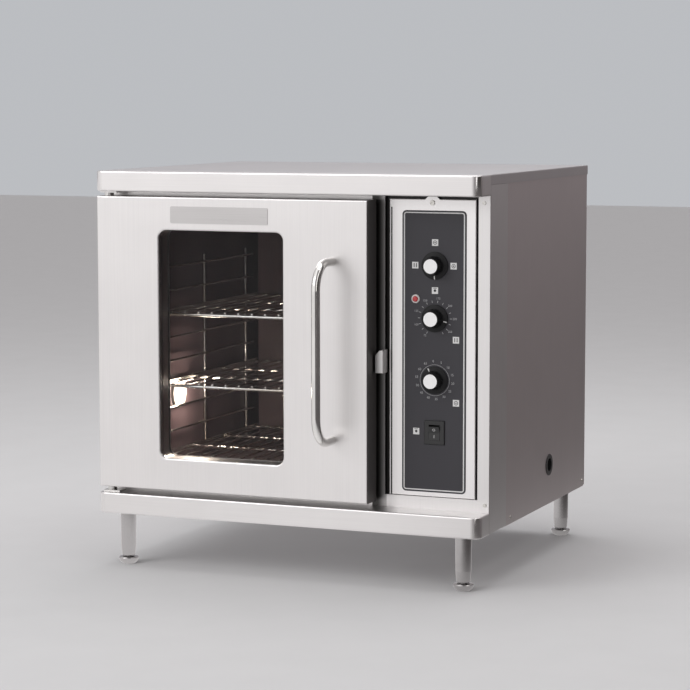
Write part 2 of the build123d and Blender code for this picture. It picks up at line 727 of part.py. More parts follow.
# Control panel: a shallow tray set in the bay, held by one screw through its top tab
rocker_x = control_x
light_x = control_x - light_offset
mid_x = (panel_x0 + panel_x1) / 2
tab_foot = tab_width / 2 + 4
tab_head = tab_width / 2 - 4
tab_z0 = panel_z1 - 8
control_heights = (
    ("function", function_height),
    ("thermostat", thermostat_height),
    ("timer", timer_height),
)
with BuildPart() as control_panel:
    slab((panel_x0, panel_x1), (0, panel_depth), (panel_z0, panel_z1))
    fillet(control_panel.faces().sort_by(Axis.Y)[0].edges(), panel_edge)
    slab((panel_x0 + panel_sheet, panel_x1 - panel_sheet), (panel_sheet, panel_depth + 1),
         (panel_z0 + panel_sheet, panel_z1 - panel_sheet), mode=Mode.SUBTRACT)
    with BuildSketch(facing(panel_sheet)):
        with BuildLine():
            Polyline((mid_x - tab_foot, tab_z0), (mid_x - tab_foot, panel_z1 - panel_edge),
                     (mid_x - tab_head, panel_z1 + tab_height), (mid_x + tab_head, panel_z1 + tab_height),
                     (mid_x + tab_foot, panel_z1 - panel_edge), (mid_x + tab_foot, tab_z0), close=True)
        make_face()
    extrude(amount=panel_sheet)
    with BuildSketch(facing(-1)):
        for name, height in control_heights:
            with Locations((control_x, panel_z0 + height)):
                Circle(bush_d / 2 + seat)
        with Locations((light_x, panel_z0 + light_height)):
            Circle(light_d / 2 - 2)
        with Locations((rocker_x, panel_z0 + rocker_height)):
            Rectangle(bezel[0] - 6, bezel[1] - 6)
        with Locations((mid_x, panel_z1 - 6)):
            Circle(2.6)
    extrude(amount=-(panel_sheet + 2), mode=Mode.SUBTRACT)
control_panel.part.label = "control_panel"
export_step(control_panel.part, "parts/control_panel.step")

# Control overlay: the dark plate behind the knobs
with BuildPart() as control_overlay:
    with BuildSketch(facing(0)):
        with Locations(((overlay_x0 + overlay_x1) / 2, (overlay_z0 + overlay_z1) / 2)):
            RectangleRounded(overlay_x1 - overlay_x0, overlay_z1 - overlay_z0, overlay_corner)
        for name, height in control_heights:
            with Locations((control_x, panel_z0 + height)):
                Circle(bush_d / 2 + seat, mode=Mode.SUBTRACT)
        with Locations((light_x, panel_z0 + light_height)):
            Circle(light_d / 2 - 2, mode=Mode.SUBTRACT)
        with Locations((rocker_x, panel_z0 + rocker_height)):
            Rectangle(bezel[0] - 6, bezel[1] - 6, mode=Mode.SUBTRACT)
    extrude(amount=overlay_sheet)
control_overlay.part.label = "control_overlay"
export_step(control_overlay.part, "parts/control_overlay.step")

# Knobs, spindles and what they turn: the same build for each of the three controls
knob_back = -overlay_sheet - knob_clear
bodies = {"function": ("function_switch", 34.0), "thermostat": ("thermostat", 38.0), "timer": ("timer", 46.0)}
for name, height in control_heights:
    z = panel_z0 + height
    turn_axis = Axis((control_x, at(0), z), (0, -1, 0))
    with BuildPart() as knob:
        with BuildSketch(turned(control_x, knob_back, z)):
            with BuildLine():
                Polyline((0, 0), (knob_skirt_d / 2, 0), (knob_skirt_d / 2, knob_skirt - 1),
                         (knob_grip_d / 2 + 1, knob_skirt + 0.6), (knob_grip_d / 2, knob_skirt + 1.6),
                         (knob_nose_d / 2, knob_length - 1), (knob_nose_d / 2 - 1, knob_length),
                         (0, knob_length), close=True)
            make_face()
        revolve(axis=turn_axis)
        with Locations(facing(knob_back - knob_skirt - 2) * Location((control_x, z, 0))):
            with PolarLocations(knob_grip_d / 2 + knob_flute_d / 2 - 1.6, knob_flutes):
                Cylinder(knob_flute_d / 2, knob_length - knob_skirt - 7, mode=Mode.SUBTRACT,
                         align=(Align.CENTER, Align.CENTER, Align.MIN))
        with BuildSketch(facing(knob_back + 1)):
            with Locations((control_x, z)):
                Circle(spindle_d / 2 + running)
        extrude(amount=15.0, mode=Mode.SUBTRACT)
    save(knob.part, f"{name}_knob")

    with BuildPart() as spindle:
        with BuildSketch(facing(knob_back - 13)):
            with Locations((control_x, z)):
                Circle(spindle_d / 2)
        extrude(amount=-(panel_sheet + 16 - knob_back + 13))
    save(spindle.part, f"{name}_spindle")

    body_name, body_length = bodies[name]
    with BuildPart() as switch_body:
        slab((control_x - switch_size / 2, control_x + switch_size / 2),
             (panel_sheet, panel_sheet + body_length), (z - switch_size / 2, z + switch_size / 2))
        fillet(switch_body.edges().filter_by(Axis.Y), 4.0)
        with BuildSketch(facing(panel_sheet)):
            with Locations((control_x, z)):
                Circle(bush_d / 2)
        extrude(amount=panel_sheet + overlay_sheet - 0.1)
        for side in (-1, 1):
            slab(sorted((control_x + side * 8, control_x + side * 14)),
                 (panel_sheet + body_length, panel_sheet + body_length + 8), (z - 10, z - 9))
            slab(sorted((control_x + side * 8, control_x + side * 14)),
                 (panel_sheet + body_length, panel_sheet + body_length + 8), (z + 9, z + 10))
        with BuildSketch(facing(-3)):
            with Locations((control_x, z)):
                Circle(spindle_d / 2 + running)
        extrude(amount=-(3 + panel_sheet + 17), mode=Mode.SUBTRACT)
    save(switch_body.part, body_name)

# Rocker switch: a bezel and body in the panel, and the rocker on its cross pin
rocker_z = panel_z0 + rocker_height
rocker_depth = 3.0
with BuildPart() as switch_housing:
    slab((rocker_x - bezel[0] / 2, rocker_x + bezel[0] / 2), (-overlay_sheet - bezel[2], -overlay_sheet),
         (rocker_z - bezel[1] / 2, rocker_z + bezel[1] / 2))
    chamfer(switch_housing.faces().sort_by(Axis.Y)[0].edges(), 1.0)
    slab((rocker_x - bezel[0] / 2 + 4, rocker_x + bezel[0] / 2 - 4), (-overlay_sheet, 26),
         (rocker_z - bezel[1] / 2 + 4, rocker_z + bezel[1] / 2 - 4))
    slab((rocker_x - rocker_size[0] / 2 - 0.4, rocker_x + rocker_size[0] / 2 + 0.4), (-10, 15),
         (rocker_z - rocker_size[1] / 2 - 1.0, rocker_z + rocker_size[1] / 2 + 1.0), mode=Mode.SUBTRACT)
    rod((rocker_x - rocker_size[0] / 2 - 2, rocker_depth, rocker_z),
        (rocker_x - rocker_size[0] / 2 + 1.5, rocker_depth, rocker_z), rocker_pivot_d)
    rod((rocker_x + rocker_size[0] / 2 - 1.5, rocker_depth, rocker_z),
        (rocker_x + rocker_size[0] / 2 + 2, rocker_depth, rocker_z), rocker_pivot_d)
switch_housing.part.label = "switch_housing"
export_step(switch_housing.part, "parts/switch_housing.step")

rocker_face = -overlay_sheet - bezel[2] - 1.0 - rocker_depth
half_rocker = rocker_size[1] / 2 - 0.5
with BuildPart() as power_rocker:
    with BuildSketch(Plane(origin=(rocker_x - rocker_size[0] / 2, at(rocker_depth), rocker_z),
                           x_dir=(0, cos(radians(rocker_throw / 2)), sin(radians(rocker_throw / 2))),
                           z_dir=(1, 0, 0))):
        with BuildLine():
            Polyline((4.5, -3.5), (4.5, 3.5), (-1.0, half_rocker - 1.5), (rocker_face - 1.6, half_rocker),
                     (rocker_face + 1.2, 0), (rocker_face - 1.6, -half_rocker),
                     (-1.0, -half_rocker + 1.5), close=True)
        make_face()
    extrude(amount=rocker_size[0])
    rod((rocker_x - rocker_size[0], rocker_depth, rocker_z),
        (rocker_x + rocker_size[0], rocker_depth, rocker_z), rocker_pivot_d + 2 * running, mode=Mode.SUBTRACT)
power_rocker.part.label = "power_rocker"
export_step(power_rocker.part, "parts/power_rocker.step")

# Indicator light: a chromed ring and a domed lens pushed through the panel
light_z = panel_z0 + light_height
with BuildPart() as indicator_light:
    with BuildSketch(turned(light_x, -overlay_sheet, light_z)):
        with BuildLine():
            Polyline((0, -16), (light_d / 2 - 2.5, -16), (light_d / 2 - 2.5, 0), (light_d / 2, 0),
                     (light_d / 2, 1.2), (light_d / 2 - 1.2, 2.6), (lens_d / 2, 2.6), (lens_d / 2, 5.0),
                     (0, 5.0), close=True)
        make_face()
    revolve(axis=Axis((light_x, at(0), light_z), (0, -1, 0)))
    fillet(indicator_light.faces().sort_by(Axis.Y)[0].edges(), 2.2)
indicator_light.part.label = "indicator_light"
export_step(indicator_light.part, "parts/indicator_light.step")

# Contactor and terminal block, on the base pan behind the controls
block_x = (wall_x + half) / 2 + 10
pan_top = base_z + pan_sheet
with BuildPart() as contactor:
    slab((block_x - 28, block_x + 28), (180, 250), (pan_top, pan_top + 62))
    slab((block_x - 24, block_x + 24), (174, 256), (pan_top + 6, pan_top + 30))
    slab((block_x - 18, block_x + 18), (186, 244), (pan_top + 62, pan_top + 74))
    for step in (-1, 0, 1):
        x = block_x + step * 16
        slab((x - 5, x + 5), (170, 182), (pan_top + 34, pan_top + 54))
        slab((x - 5, x + 5), (248, 260), (pan_top + 34, pan_top + 54))
contactor.part.label = "contactor"
export_step(contactor.part, "parts/contactor.step")

with BuildPart() as terminal_block:
    slab((block_x - 20, block_x + 20), (entry_depth - 45, entry_depth + 45), (pan_top, pan_top + 10))
    for step in range(4):
        depth = entry_depth - 45 + 22.5 * step + 1.25
        slab((block_x - 18, block_x + 18), (depth + 8.5, depth + 11.5), (pan_top + 10, pan_top + 26))
        for side in (-1, 1):
            with Locations((block_x + side * 9, at(depth + 3), pan_top + 10)):
                Cylinder(3.5, 8, align=(Align.CENTER, Align.CENTER, Align.MIN))
terminal_block.part.label = "terminal_block"
export_step(terminal_block.part, "parts/terminal_block.step")

# Supply entry bushing: a flanged ring snapped into the hole of the right side panel
entry_z = base_z + entry_rise
with BuildPart() as conduit_bushing:
    with BuildSketch(Plane.YZ.offset(panel_side_x)):
        with Locations((at(entry_depth), entry_z)):
            Circle(entry_flange_d / 2)
    extrude(amount=skin)
    fillet(conduit_bushing.faces().sort_by(Axis.X)[-1].edges(), 0.8)
    with BuildSketch(Plane.YZ.offset(panel_side_x)):
        with Locations((at(entry_depth), entry_z)):
            Circle(entry_hole_d / 2 - seat)
    extrude(amount=-skin)
    with BuildSketch(Plane.YZ.offset(panel_side_x - skin)):
        with Locations((at(entry_depth), entry_z)):
            Circle(entry_flange_d / 2)
    extrude(amount=-8.0)
    with BuildSketch(Plane.YZ.offset(panel_side_x + skin)):
        with Locations((at(entry_depth), entry_z)):
            Circle(entry_bore_d / 2)
    extrude(amount=-2 * skin - 10, mode=Mode.SUBTRACT)
conduit_bushing.part.label = "conduit_bushing"
export_step(conduit_bushing.part, "parts/conduit_bushing.step")

# Legs: tapered steel legs with a stud through the floor, and a screwed foot in each
corners = (
    ("front_left", -half + leg_inset, leg_front),
    ("front_right", half - leg_inset, leg_front),
    ("back_left", -half + leg_inset, body_depth - leg_back_inset),
    ("back_right", half - leg_inset, body_depth - leg_back_inset),
)
leg_foot = foot_height + foot_gap
stem_top = foot_height + foot_stem
for corner, x, depth in corners:
    with BuildPart() as leg:
        with BuildSketch(upright(x, depth)):
            with BuildLine():
                Polyline((0, stem_top + 2), (foot_stem_d / 2 + 0.1, stem_top + 2),
                         (foot_stem_d / 2 + 0.1, leg_foot), (leg_end_d / 2 - 0.8, leg_foot),
                         (leg_end_d / 2, leg_foot + 0.8), (leg_waist_d / 2, leg_waist),
                         (leg_top_d / 2, leg_height - 1), (leg_top_d / 2 - 1, leg_height),
                         (leg_stud_d / 2, leg_height), (leg_stud_d / 2, leg_height + 14),
                         (0, leg_height + 14), close=True)
            make_face()
        revolve(axis=Axis((x, at(depth), 0), (0, 0, 1)))
    save(leg.part, f"leg_{corner}")
    with BuildPart() as foot:
        with BuildSketch(upright(x, depth)):
            with BuildLine():
                Line((0, 0), (foot_sole_d / 2, 0))
                ThreePointArc((foot_sole_d / 2, 0), (foot_d / 2 - 1.6, foot_height * 0.42),
                              (foot_d / 2, foot_height * 0.78))
                Polyline((foot_d / 2, foot_height * 0.78), (foot_d / 2 - 1.2, foot_height * 0.9),
                         (leg_end_d / 2 - 1, foot_height), (foot_stem_d / 2, foot_height),
                         (foot_stem_d / 2, stem_top - 1), (foot_stem_d / 2 - 1, stem_top),
                         (0, stem_top), (0, 0))
            make_face()
        revolve(axis=Axis((x, at(depth), 0), (0, 0, 1)))
    save(foot.part, f"foot_{corner}")

# Hinge pins: a plate and collar on each band, with a stud into the band and a pin into the door
with BuildPart() as hinge_pins:
    for face_z, way, gap_size in ((sill_z, 1, door_bottom_gap), (lintel_z, -1, door_top_gap)):
        slab((hinge_x - hinge_plate[0] / 2 + 5, hinge_x + hinge_plate[0] / 2 + 5),
             (-hinge_back - hinge_plate[1] / 2, -hinge_back + hinge_plate[1] / 2),
             sorted((face_z, face_z + way * hinge_plate[2])))
        rod((hinge_x, -hinge_back, face_z),
            (hinge_x, -hinge_back, face_z + way * (gap_size - seat)), hinge_collar_d)
        rod((hinge_x, -hinge_back, face_z - way * stud_length),
            (hinge_x, -hinge_back, face_z + way * (gap_size + door_sheet + hinge_engage)), hinge_pin_d)
hinge_pins.part.label = "hinge_pins"
export_step(hinge_pins.part, "parts/hinge_pins.step")

# Catch: a folded bracket on the jamb with a magnet inside, beside the edge of the door
catch_x0 = door_x1 + catch_gap
catch_x1 = catch_x0 + catch_width
catch_z0 = door_z0 + catch_rise - catch_height / 2
catch_z1 = catch_z0 + catch_height
with BuildPart() as catch_bracket:
    with BuildSketch(facing(0)):
        with BuildLine():
            Polyline((catch_x0, catch_z0), (catch_x1, catch_z0), (catch_x1, catch_z1),
                     (catch_x0 + 8, catch_z1), (catch_x0, catch_z1 - 10), close=True)
        make_face()
    extrude(amount=catch_reach)
    fillet(catch_bracket.faces().sort_by(Axis.Y)[0].edges(), 1.0)
    slab((catch_x0 + catch_sheet, catch_x1 - catch_sheet), (-catch_reach + catch_sheet, 1),
         (catch_z0 - 1, catch_z1 - 12), mode=Mode.SUBTRACT)
catch_bracket.part.label = "catch_bracket"
export_step(catch_bracket.part, "parts/catch_bracket.step")

with BuildPart() as catch_magnet:
    slab((catch_x0 + catch_sheet, catch_x1 - catch_sheet - seat), (-catch_reach + catch_sheet + seat, -seat),
         (catch_z0 + 2, catch_z1 - 12 - seat))
    chamfer(catch_magnet.edges(), 0.6)
catch_magnet.part.label = "catch_magnet"
export_step(catch_magnet.part, "parts/catch_magnet.step")

# Door skin: a folded pan with a rimmed window
door_back = -door_reach + door_depth
with BuildPart() as door_skin:
    slab((door_x0, door_x1), (-door_reach, door_back - door_sheet - seat), (door_z0, door_z1))
    fillet(door_skin.faces().sort_by(Axis.Y)[0].edges(), door_edge)
    slab((door_x0 + door_sheet, door_x1 - door_sheet), (-door_reach + door_sheet, 0),
         (door_z0 + door_sheet, door_z1 - door_sheet), mode=Mode.SUBTRACT)
    with BuildSketch(facing(-door_reach + window_recess)):
        with Locations((window_x, window_z)):
            RectangleRounded(window_width + 2 * window_rim, window_height + 2 * window_rim,
                             window_corner + window_rim)
    extrude(amount=window_recess - door_sheet / 2)
    with BuildSketch(facing(-door_reach)):
        with Locations((window_x, window_z)):
            RectangleRounded(window_width, window_height, window_corner)
    extrude(amount=-window_recess, mode=Mode.SUBTRACT)
    window_lip = door_skin.edges().filter_by(
        lambda e: abs(e.center().Y - at(-door_reach)) < 0.01
        and abs(e.center().X - window_x) < window_width / 2 + 1
        and abs(e.center().Z - window_z) < window_height / 2 + 1)
    fillet(window_lip, window_bevel)
    with BuildSketch(Plane.XY.offset(door_z0 - 1)):
        with Locations((hinge_x, at(-hinge_back))):
            Circle(hinge_pin_d / 2 + 1)
    extrude(amount=door_z1 - door_z0 + 2, mode=Mode.SUBTRACT)
door_skin.part.label = "door_skin"
export_step(door_skin.part, "parts/door_skin.step")

# Door liner: the inner pan, with a bored hinge block in each hinge corner
liner_x0 = door_x0 + door_sheet + seat
liner_x1 = door_x1 - door_sheet - seat
liner_z0 = door_z0 + door_sheet + seat
liner_z1 = door_z1 - door_sheet - seat
liner_flange_depth = 20.0
with BuildPart() as door_liner:
    slab((door_x0, door_x1), (door_back - door_sheet, door_back), (door_z0, door_z1))
    slab((liner_x0, liner_x1), (door_back - liner_flange_depth, door_back), (liner_z0, liner_z1))
    slab((liner_x0 + door_sheet, liner_x1 - door_sheet),
         (door_back - liner_flange_depth - 1, door_back - door_sheet),
         (liner_z0 + door_sheet, liner_z1 - door_sheet), mode=Mode.SUBTRACT)
    for z in (liner_z0, liner_z1 - hinge_block):
        slab((liner_x0, liner_x0 + hinge_block),
             (-hinge_back - hinge_block / 2, -hinge_back + hinge_block / 2), (z, z + hinge_block))
    with BuildSketch(facing(door_back)):
        with Locations((window_x, window_z)):
            RectangleRounded(window_width, window_height, window_corner)
    extrude(amount=door_sheet, mode=Mode.SUBTRACT)
    with BuildSketch(Plane.XY.offset(door_z0 - 1)):
        with Locations((hinge_x, at(-hinge_back))):
            Circle(hinge_pin_d / 2 + running)
    extrude(amount=door_z1 - door_z0 + 2, mode=Mode.SUBTRACT)
door_liner.part.label = "door_liner"
export_step(door_liner.part, "parts/door_liner.step")

# Window: two panes and the frame that spaces them
outer_pane = -door_reach + window_recess + seat
inner_pane = door_back - door_sheet - seat - glass
for name, depth in (("outer_glass", outer_pane), ("inner_glass", inner_pane)):
    with BuildPart() as pane:
        with BuildSketch(facing(depth)):
            with Locations((window_x, window_z)):
                RectangleRounded(window_width + 2 * glass_overlap, window_height + 2 * glass_overlap,
                                 window_corner + glass_overlap)
        extrude(amount=-glass)
    save(pane.part, name)

with BuildPart() as window_frame:
    with BuildSketch(facing(outer_pane + glass + seat)):
        with Locations((window_x, window_z)):
            RectangleRounded(window_width + 2 * glass_overlap, window_height + 2 * glass_overlap,
                             window_corner + glass_overlap)
            RectangleRounded(window_width + 2, window_height + 2, window_corner + 1, mode=Mode.SUBTRACT)
    extrude(amount=-(inner_pane - outer_pane - glass - 2 * seat))
window_frame.part.label = "window_frame"
export_step(window_frame.part, "parts/window_frame.step")

# Handle: a tube bowed out from the door and bolted at both ends
handle_x = door_x1 - handle_inset
handle_z1 = door_z1 - handle_drop
handle_z0 = handle_z1 - handle_length
with BuildPart() as door_handle:
    with BuildLine() as bow:
        FilletPolyline((handle_x, at(-door_reach), handle_z0),
                       (handle_x, at(-door_reach - handle_reach), handle_z0),
                       (handle_x, at(-door_reach - handle_reach), handle_z1),
                       (handle_x, at(-door_reach), handle_z1), radius=handle_bend)
    with BuildSketch(Plane(origin=bow.line @ 0, z_dir=bow.line % 0)):
        Circle(handle_d / 2)
    sweep()
door_handle.part.label = "door_handle"
export_step(door_handle.part, "parts/door_handle.step")
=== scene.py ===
import math

import bmesh
import bpy
from mathutils import Matrix, Vector


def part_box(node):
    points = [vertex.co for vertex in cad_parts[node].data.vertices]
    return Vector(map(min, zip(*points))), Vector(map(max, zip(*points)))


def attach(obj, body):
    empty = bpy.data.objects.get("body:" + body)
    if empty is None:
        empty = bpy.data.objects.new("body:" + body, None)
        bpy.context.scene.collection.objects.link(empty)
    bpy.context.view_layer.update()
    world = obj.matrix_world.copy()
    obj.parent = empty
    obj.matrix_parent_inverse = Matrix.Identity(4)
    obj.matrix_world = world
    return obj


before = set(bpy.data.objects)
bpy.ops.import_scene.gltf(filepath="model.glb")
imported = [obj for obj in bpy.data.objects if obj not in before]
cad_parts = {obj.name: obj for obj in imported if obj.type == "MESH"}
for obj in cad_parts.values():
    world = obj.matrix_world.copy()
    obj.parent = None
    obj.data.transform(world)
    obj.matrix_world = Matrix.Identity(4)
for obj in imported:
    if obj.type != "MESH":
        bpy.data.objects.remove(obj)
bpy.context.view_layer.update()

# Camera: a long lens, a little above the oven and to its right,
# so that the front, the right side and a sliver of the roof show.
camera = bpy.data.objects.new("camera", bpy.data.cameras.new("camera"))
bpy.context.collection.objects.link(camera)
camera.location = (1.7636, -4.2426, 0.8966)
to_the_left, downwards, leaning = 22.475, 6.06, -0.061
turn = Matrix.Rotation(math.radians(to_the_left), 4, "Z")
tilt = Matrix.Rotation(math.radians(90 - downwards), 4, "X")
roll = Matrix.Rotation(math.radians(leaning), 4, "Z")
camera.rotation_euler = (turn @ tilt @ roll).to_euler()
camera.data.lens = 124.3
camera.data.sensor_width = 36.0
bpy.context.scene.camera = camera
bpy.context.scene.view_settings.view_transform = "Standard"


# Studio: a soft room, bright in front and on the left and dim on the right,
# with a pale table top that keeps the oven's shadow.
class Shade:
    """One output of a node. Sums and products of it add the maths nodes that they need."""

    def __init__(self, tree, socket):
        self.tree = tree
        self.socket = socket

    def maths(self, operation, first, second):
        node = self.tree.nodes.new("ShaderNodeMath")
        node.operation = operation
        for value, socket in zip((first, second), node.inputs):
            if isinstance(value, Shade):
                self.tree.links.new(value.socket, socket)
            else:
                socket.default_value = value
        return Shade(self.tree, node.outputs[0])

    def __add__(self, other):
        return self.maths("ADD", self, other)

    def __radd__(self, other):
        return self.maths("ADD", other, self)

    def __sub__(self, other):
        return self.maths("SUBTRACT", self, other)

    def __rsub__(self, other):
        return self.maths("SUBTRACT", other, self)

    def __mul__(self, other):
        return self.maths("MULTIPLY", self, other)

    def __rmul__(self, other):
        return self.maths("MULTIPLY", other, self)

    def __gt__(self, other):
        return self.maths("GREATER_THAN", self, other)

    def __lt__(self, other):
        return self.maths("LESS_THAN", self, other)

    def __abs__(self):
        return self.maths("ABSOLUTE", self, 0.0)


class Nodes:
    """The node tree of a finish or of the room, with one way to add a node."""

    def __init__(self, tree):
        self.tree = tree

    def node(self, kind, settings=(), inputs=(), out=0):
        made = self.tree.nodes.new("ShaderNode" + kind)
        for name, value in dict(settings).items():
            setattr(made, name, value)
        for name, value in dict(inputs).items():
            socket = made.inputs[name]
            if isinstance(value, Shade):
                self.tree.links.new(value.socket, socket)
            else:
                socket.default_value = value
        return Shade(self.tree, made.outputs[out])

    def blend(self, share, first, second):
        """A colour between two colours."""
        return self.node("Mix", {"data_type": "RGBA"}, {0: share, 6: first, 7: second}, out=2)

    def axis(self, place, index):
        """One number of a place: 0 is across, 1 is towards the back and 2 is up."""
        return self.node("SeparateXYZ", inputs={"Vector": place}, out=index)

    def step(self, value, low, high):
        """A smooth step from 0 to 1 as the value goes from low to high."""
        return self.node("MapRange", {"interpolation_type": "SMOOTHSTEP"},
                         {"Value": value, "From Min": low, "From Max": high})


room = bpy.data.worlds.new("studio_room")
bpy.context.scene.world = room
room.use_nodes = True
air = Nodes(room.node_tree)
direction = air.node("TexCoord", out=0)
sideways = air.axis(direction, 0)
to_right = air.step(sideways, -0.26, 0.22)
window_strip = air.step(sideways, 0.50, 0.57) - air.step(sideways, 0.66, 0.73)
to_back = air.step(air.axis(direction, 1), -0.10, 0.60)
seen = air.node("LightPath", out=0)
wall_colour = (0.50, 0.512, 0.535, 1.0)
far_left = air.step(sideways, -0.46, -0.62)
left_front = air.blend(far_left, (1.24, 1.22, 1.22, 1.0), (0.90, 0.885, 0.885, 1.0))
left_side = air.blend(to_back, left_front, (0.46, 0.45, 0.47, 1.0))
far_right = air.step(sideways, 0.74, 0.80)
dim_right = air.blend(far_right, (0.26, 0.245, 0.25, 1.0), (0.05, 0.045, 0.042, 1.0))
front_right = air.blend(window_strip, dim_right, (1.70, 1.67, 1.64, 1.0))
right_side = air.blend(to_back, front_right, (0.31, 0.28, 0.287, 1.0))
lit = air.blend(to_right, left_side, right_side)
sky = air.blend(seen, lit, wall_colour)
background = room.node_tree.nodes["Background"]
room.node_tree.links.new(sky.socket, background.inputs["Color"])
background.inputs["Strength"].default_value = 1.0

table_mesh = bmesh.new()
table_half = 14.0
bmesh.ops.create_grid(table_mesh, x_segments=1, y_segments=1, size=table_half)
table_data = bpy.data.meshes.new("table_top")
table_mesh.to_mesh(table_data)
table_mesh.free()
table_top = bpy.data.objects.new("table_top", table_data)
bpy.context.collection.objects.link(table_top)
table_finish = bpy.data.materials.new("table_finish")
table_finish.use_nodes = True
top = Nodes(table_finish.node_tree)
place = top.node("TexCoord", out=3)
across = top.axis(place, 0)
grain = top.node("TexNoise", inputs={"Vector": place, "Scale": 9.0, "Detail": 3.0})
pale = top.blend(grain * 0.5, (0.60, 0.60, 0.605, 1.0), (0.66, 0.66, 0.665, 1.0))
# Painted reflection: to glossy rays the table top is a glow, pale on the left and dark on the right; other
# rays see the matt pale top.
right = top.step(across, 0.0, 0.8)
shiny = top.node("LightPath", out=3)
painted_reflection_colour = top.blend(right, (0.88, 0.865, 0.865, 1.0), (0.13, 0.12, 0.12, 1.0))
glow = top.node("Emission", inputs={"Color": painted_reflection_colour, "Strength": 1.0})
matt = top.node("BsdfDiffuse", inputs={"Color": pale})
mixed = top.node("MixShader", inputs={0: shiny, 1: matt, 2: glow})
surface = table_finish.node_tree.nodes["Material Output"].inputs["Surface"]
table_finish.node_tree.links.new(mixed.socket, surface)
table_data.materials.append(table_finish)

lit_point = Vector((0, 0, 0.4))
for lamp_name, spot, width, height, power in (
    ("key_light", (-2.6, -3.4, 2.8), 2.4, 2.0, 50.0),
    ("top_light", (0.2, 0.6, 3.2), 2.6, 2.6, 45.0),
):
    lamp = bpy.data.lights.new(lamp_name, "AREA")
    lamp.shape = "RECTANGLE"
    lamp.size = width
    lamp.size_y = height
    lamp.energy = power
    lamp_object = bpy.data.objects.new(lamp_name, lamp)
    lamp_object.location = spot
    lamp_object.rotation_euler = (lit_point - Vector(spot)).to_track_quat("-Z", "Y").to_euler()
    bpy.context.collection.objects.link(lamp_object)


# Shell: satin stainless sheet, ground one way before it was folded.
# The bands, the door and the panel have the same sheet; the walls and the roof are a little darker.
class Finish(Nodes):
    """A surface finish: fixed numbers on the shader, and the nodes that vary over the piece."""

    def __init__(self, name, colour, roughness, metallic=0.0, **fixed):
        self.material = bpy.data.materials.new(name)
        self.material.use_nodes = True
        super().__init__(self.material.node_tree)
        self.shader = self.tree.nodes["Principled BSDF"]
        self.put("Base Color", colour)
        self.put("Roughness", roughness)
        self.put("Metallic", metallic)
        for socket, value in fixed.items():
            self.put(socket.replace("_", " "), value)
        self.place = self.node("TexCoord", out=3)

    def put(self, socket, value):
        """Sets a socket of the shader, or links it."""
        target = self.shader.inputs[socket]
        if isinstance(value, Shade):
            self.tree.links.new(value.socket, target)
        elif isinstance(value, tuple) and len(value) == 3:
            target.default_value = (*value, 1.0)
        else:
            target.default_value = value

    def stretched(self, along):
        """The place on the piece, with a pattern on it drawn out by these factors."""
        return self.node("Mapping", inputs={"Vector": self.place, "Scale": along})

    def noise(self, place, scale, detail=2.0):
        return self.node("TexNoise", inputs={"Vector": place, "Scale": scale, "Detail": detail})

    def raise_by(self, height, distance, strength=1.0):
        """A bump of this height in metres."""
        self.put("Normal", self.node("Bump", inputs={"Height": height, "Distance": distance,
                                                     "Strength": strength}))

    def on(self, *names):
        """Gives the finish to CAD nodes."""
        for name in names:
            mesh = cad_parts[name].data
            mesh.materials.clear()
            mesh.materials.append(self.material)


def satin(name, light, dark, roughness, along):
    """Satin steel: fine ground lines drawn out along one axis, and a slow drift of tone."""
    finish = Finish(name, light, roughness, metallic=1.0)
    lines = finish.noise(finish.stretched(along), 420.0, 3.0)
    drift = finish.noise(finish.place, 2.2)
    cloud = finish.noise(finish.place, 16.0, 4.0)
    share = lines * 0.35 + drift * 0.4 + cloud * 0.25
    tone = finish.step(share, 0.25, 0.75)
    finish.put("Base Color", finish.blend(tone, (*dark, 1.0), (*light, 1.0)))
    finish.put("Roughness", roughness - 0.05 + lines * 0.08 + cloud * 0.04)
    finish.raise_by(lines, 0.00004, 0.5)
    return finish


def paint_shade(finish, mask, tone):
    """Paints shade on a finish: a darker colour where the mask is 1, as the room cannot reach in there."""
    base = Shade(finish.tree, finish.shader.inputs["Base Color"].links[0].from_socket)
    finish.put("Base Color", finish.blend(mask, base, (*tone, 1.0)))


across_lines = (0.012, 1.0, 1.0)
upright_lines = (1.0, 1.0, 0.012)
door_shade_width = 0.0008
door_steel = satin("door_steel", (0.79, 0.772, 0.768), (0.72, 0.703, 0.700), 0.36, upright_lines)
door_low, door_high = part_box("door_skin")
# Painted shade: the door skin within this width of its right edge, its side facing the jamb, is coloured
# dark.
shaded_edge = door_steel.axis(door_steel.place, 0) > (door_high.x - door_shade_width)
paint_shade(door_steel, shaded_edge, (0.16, 0.152, 0.150))
door_steel.on("door_skin", "door_liner", "window_frame")
band_steel = satin("band_steel", (0.79, 0.772, 0.768), (0.72, 0.703, 0.700), 0.34, across_lines)
band_steel.on("top_band", "bottom_band")
frame_steel = satin("frame_steel", (0.79, 0.775, 0.772), (0.72, 0.706, 0.703), 0.36, upright_lines)
frame_steel.on("catch_bracket")


# Front frame: one stainless sheet, folded round the mouth of the cavity and the bay of the controls.
# The sunk ledge round the panel and the jamb beside the door lie in the dark, so both are given a painted
# shade.
face_low, face_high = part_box("front_frame")
bay_low, bay_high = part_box("control_panel")
frame_steel_painted_shade = satin("frame_steel_painted_shade", (0.79, 0.775, 0.772), (0.72, 0.706, 0.703), 0.36, upright_lines)
frame_x = frame_steel_painted_shade.axis(frame_steel_painted_shade.place, 0)
frame_y = frame_steel_painted_shade.axis(frame_steel_painted_shade.place, 1)
jamb_end = bay_low.x - 0.0045
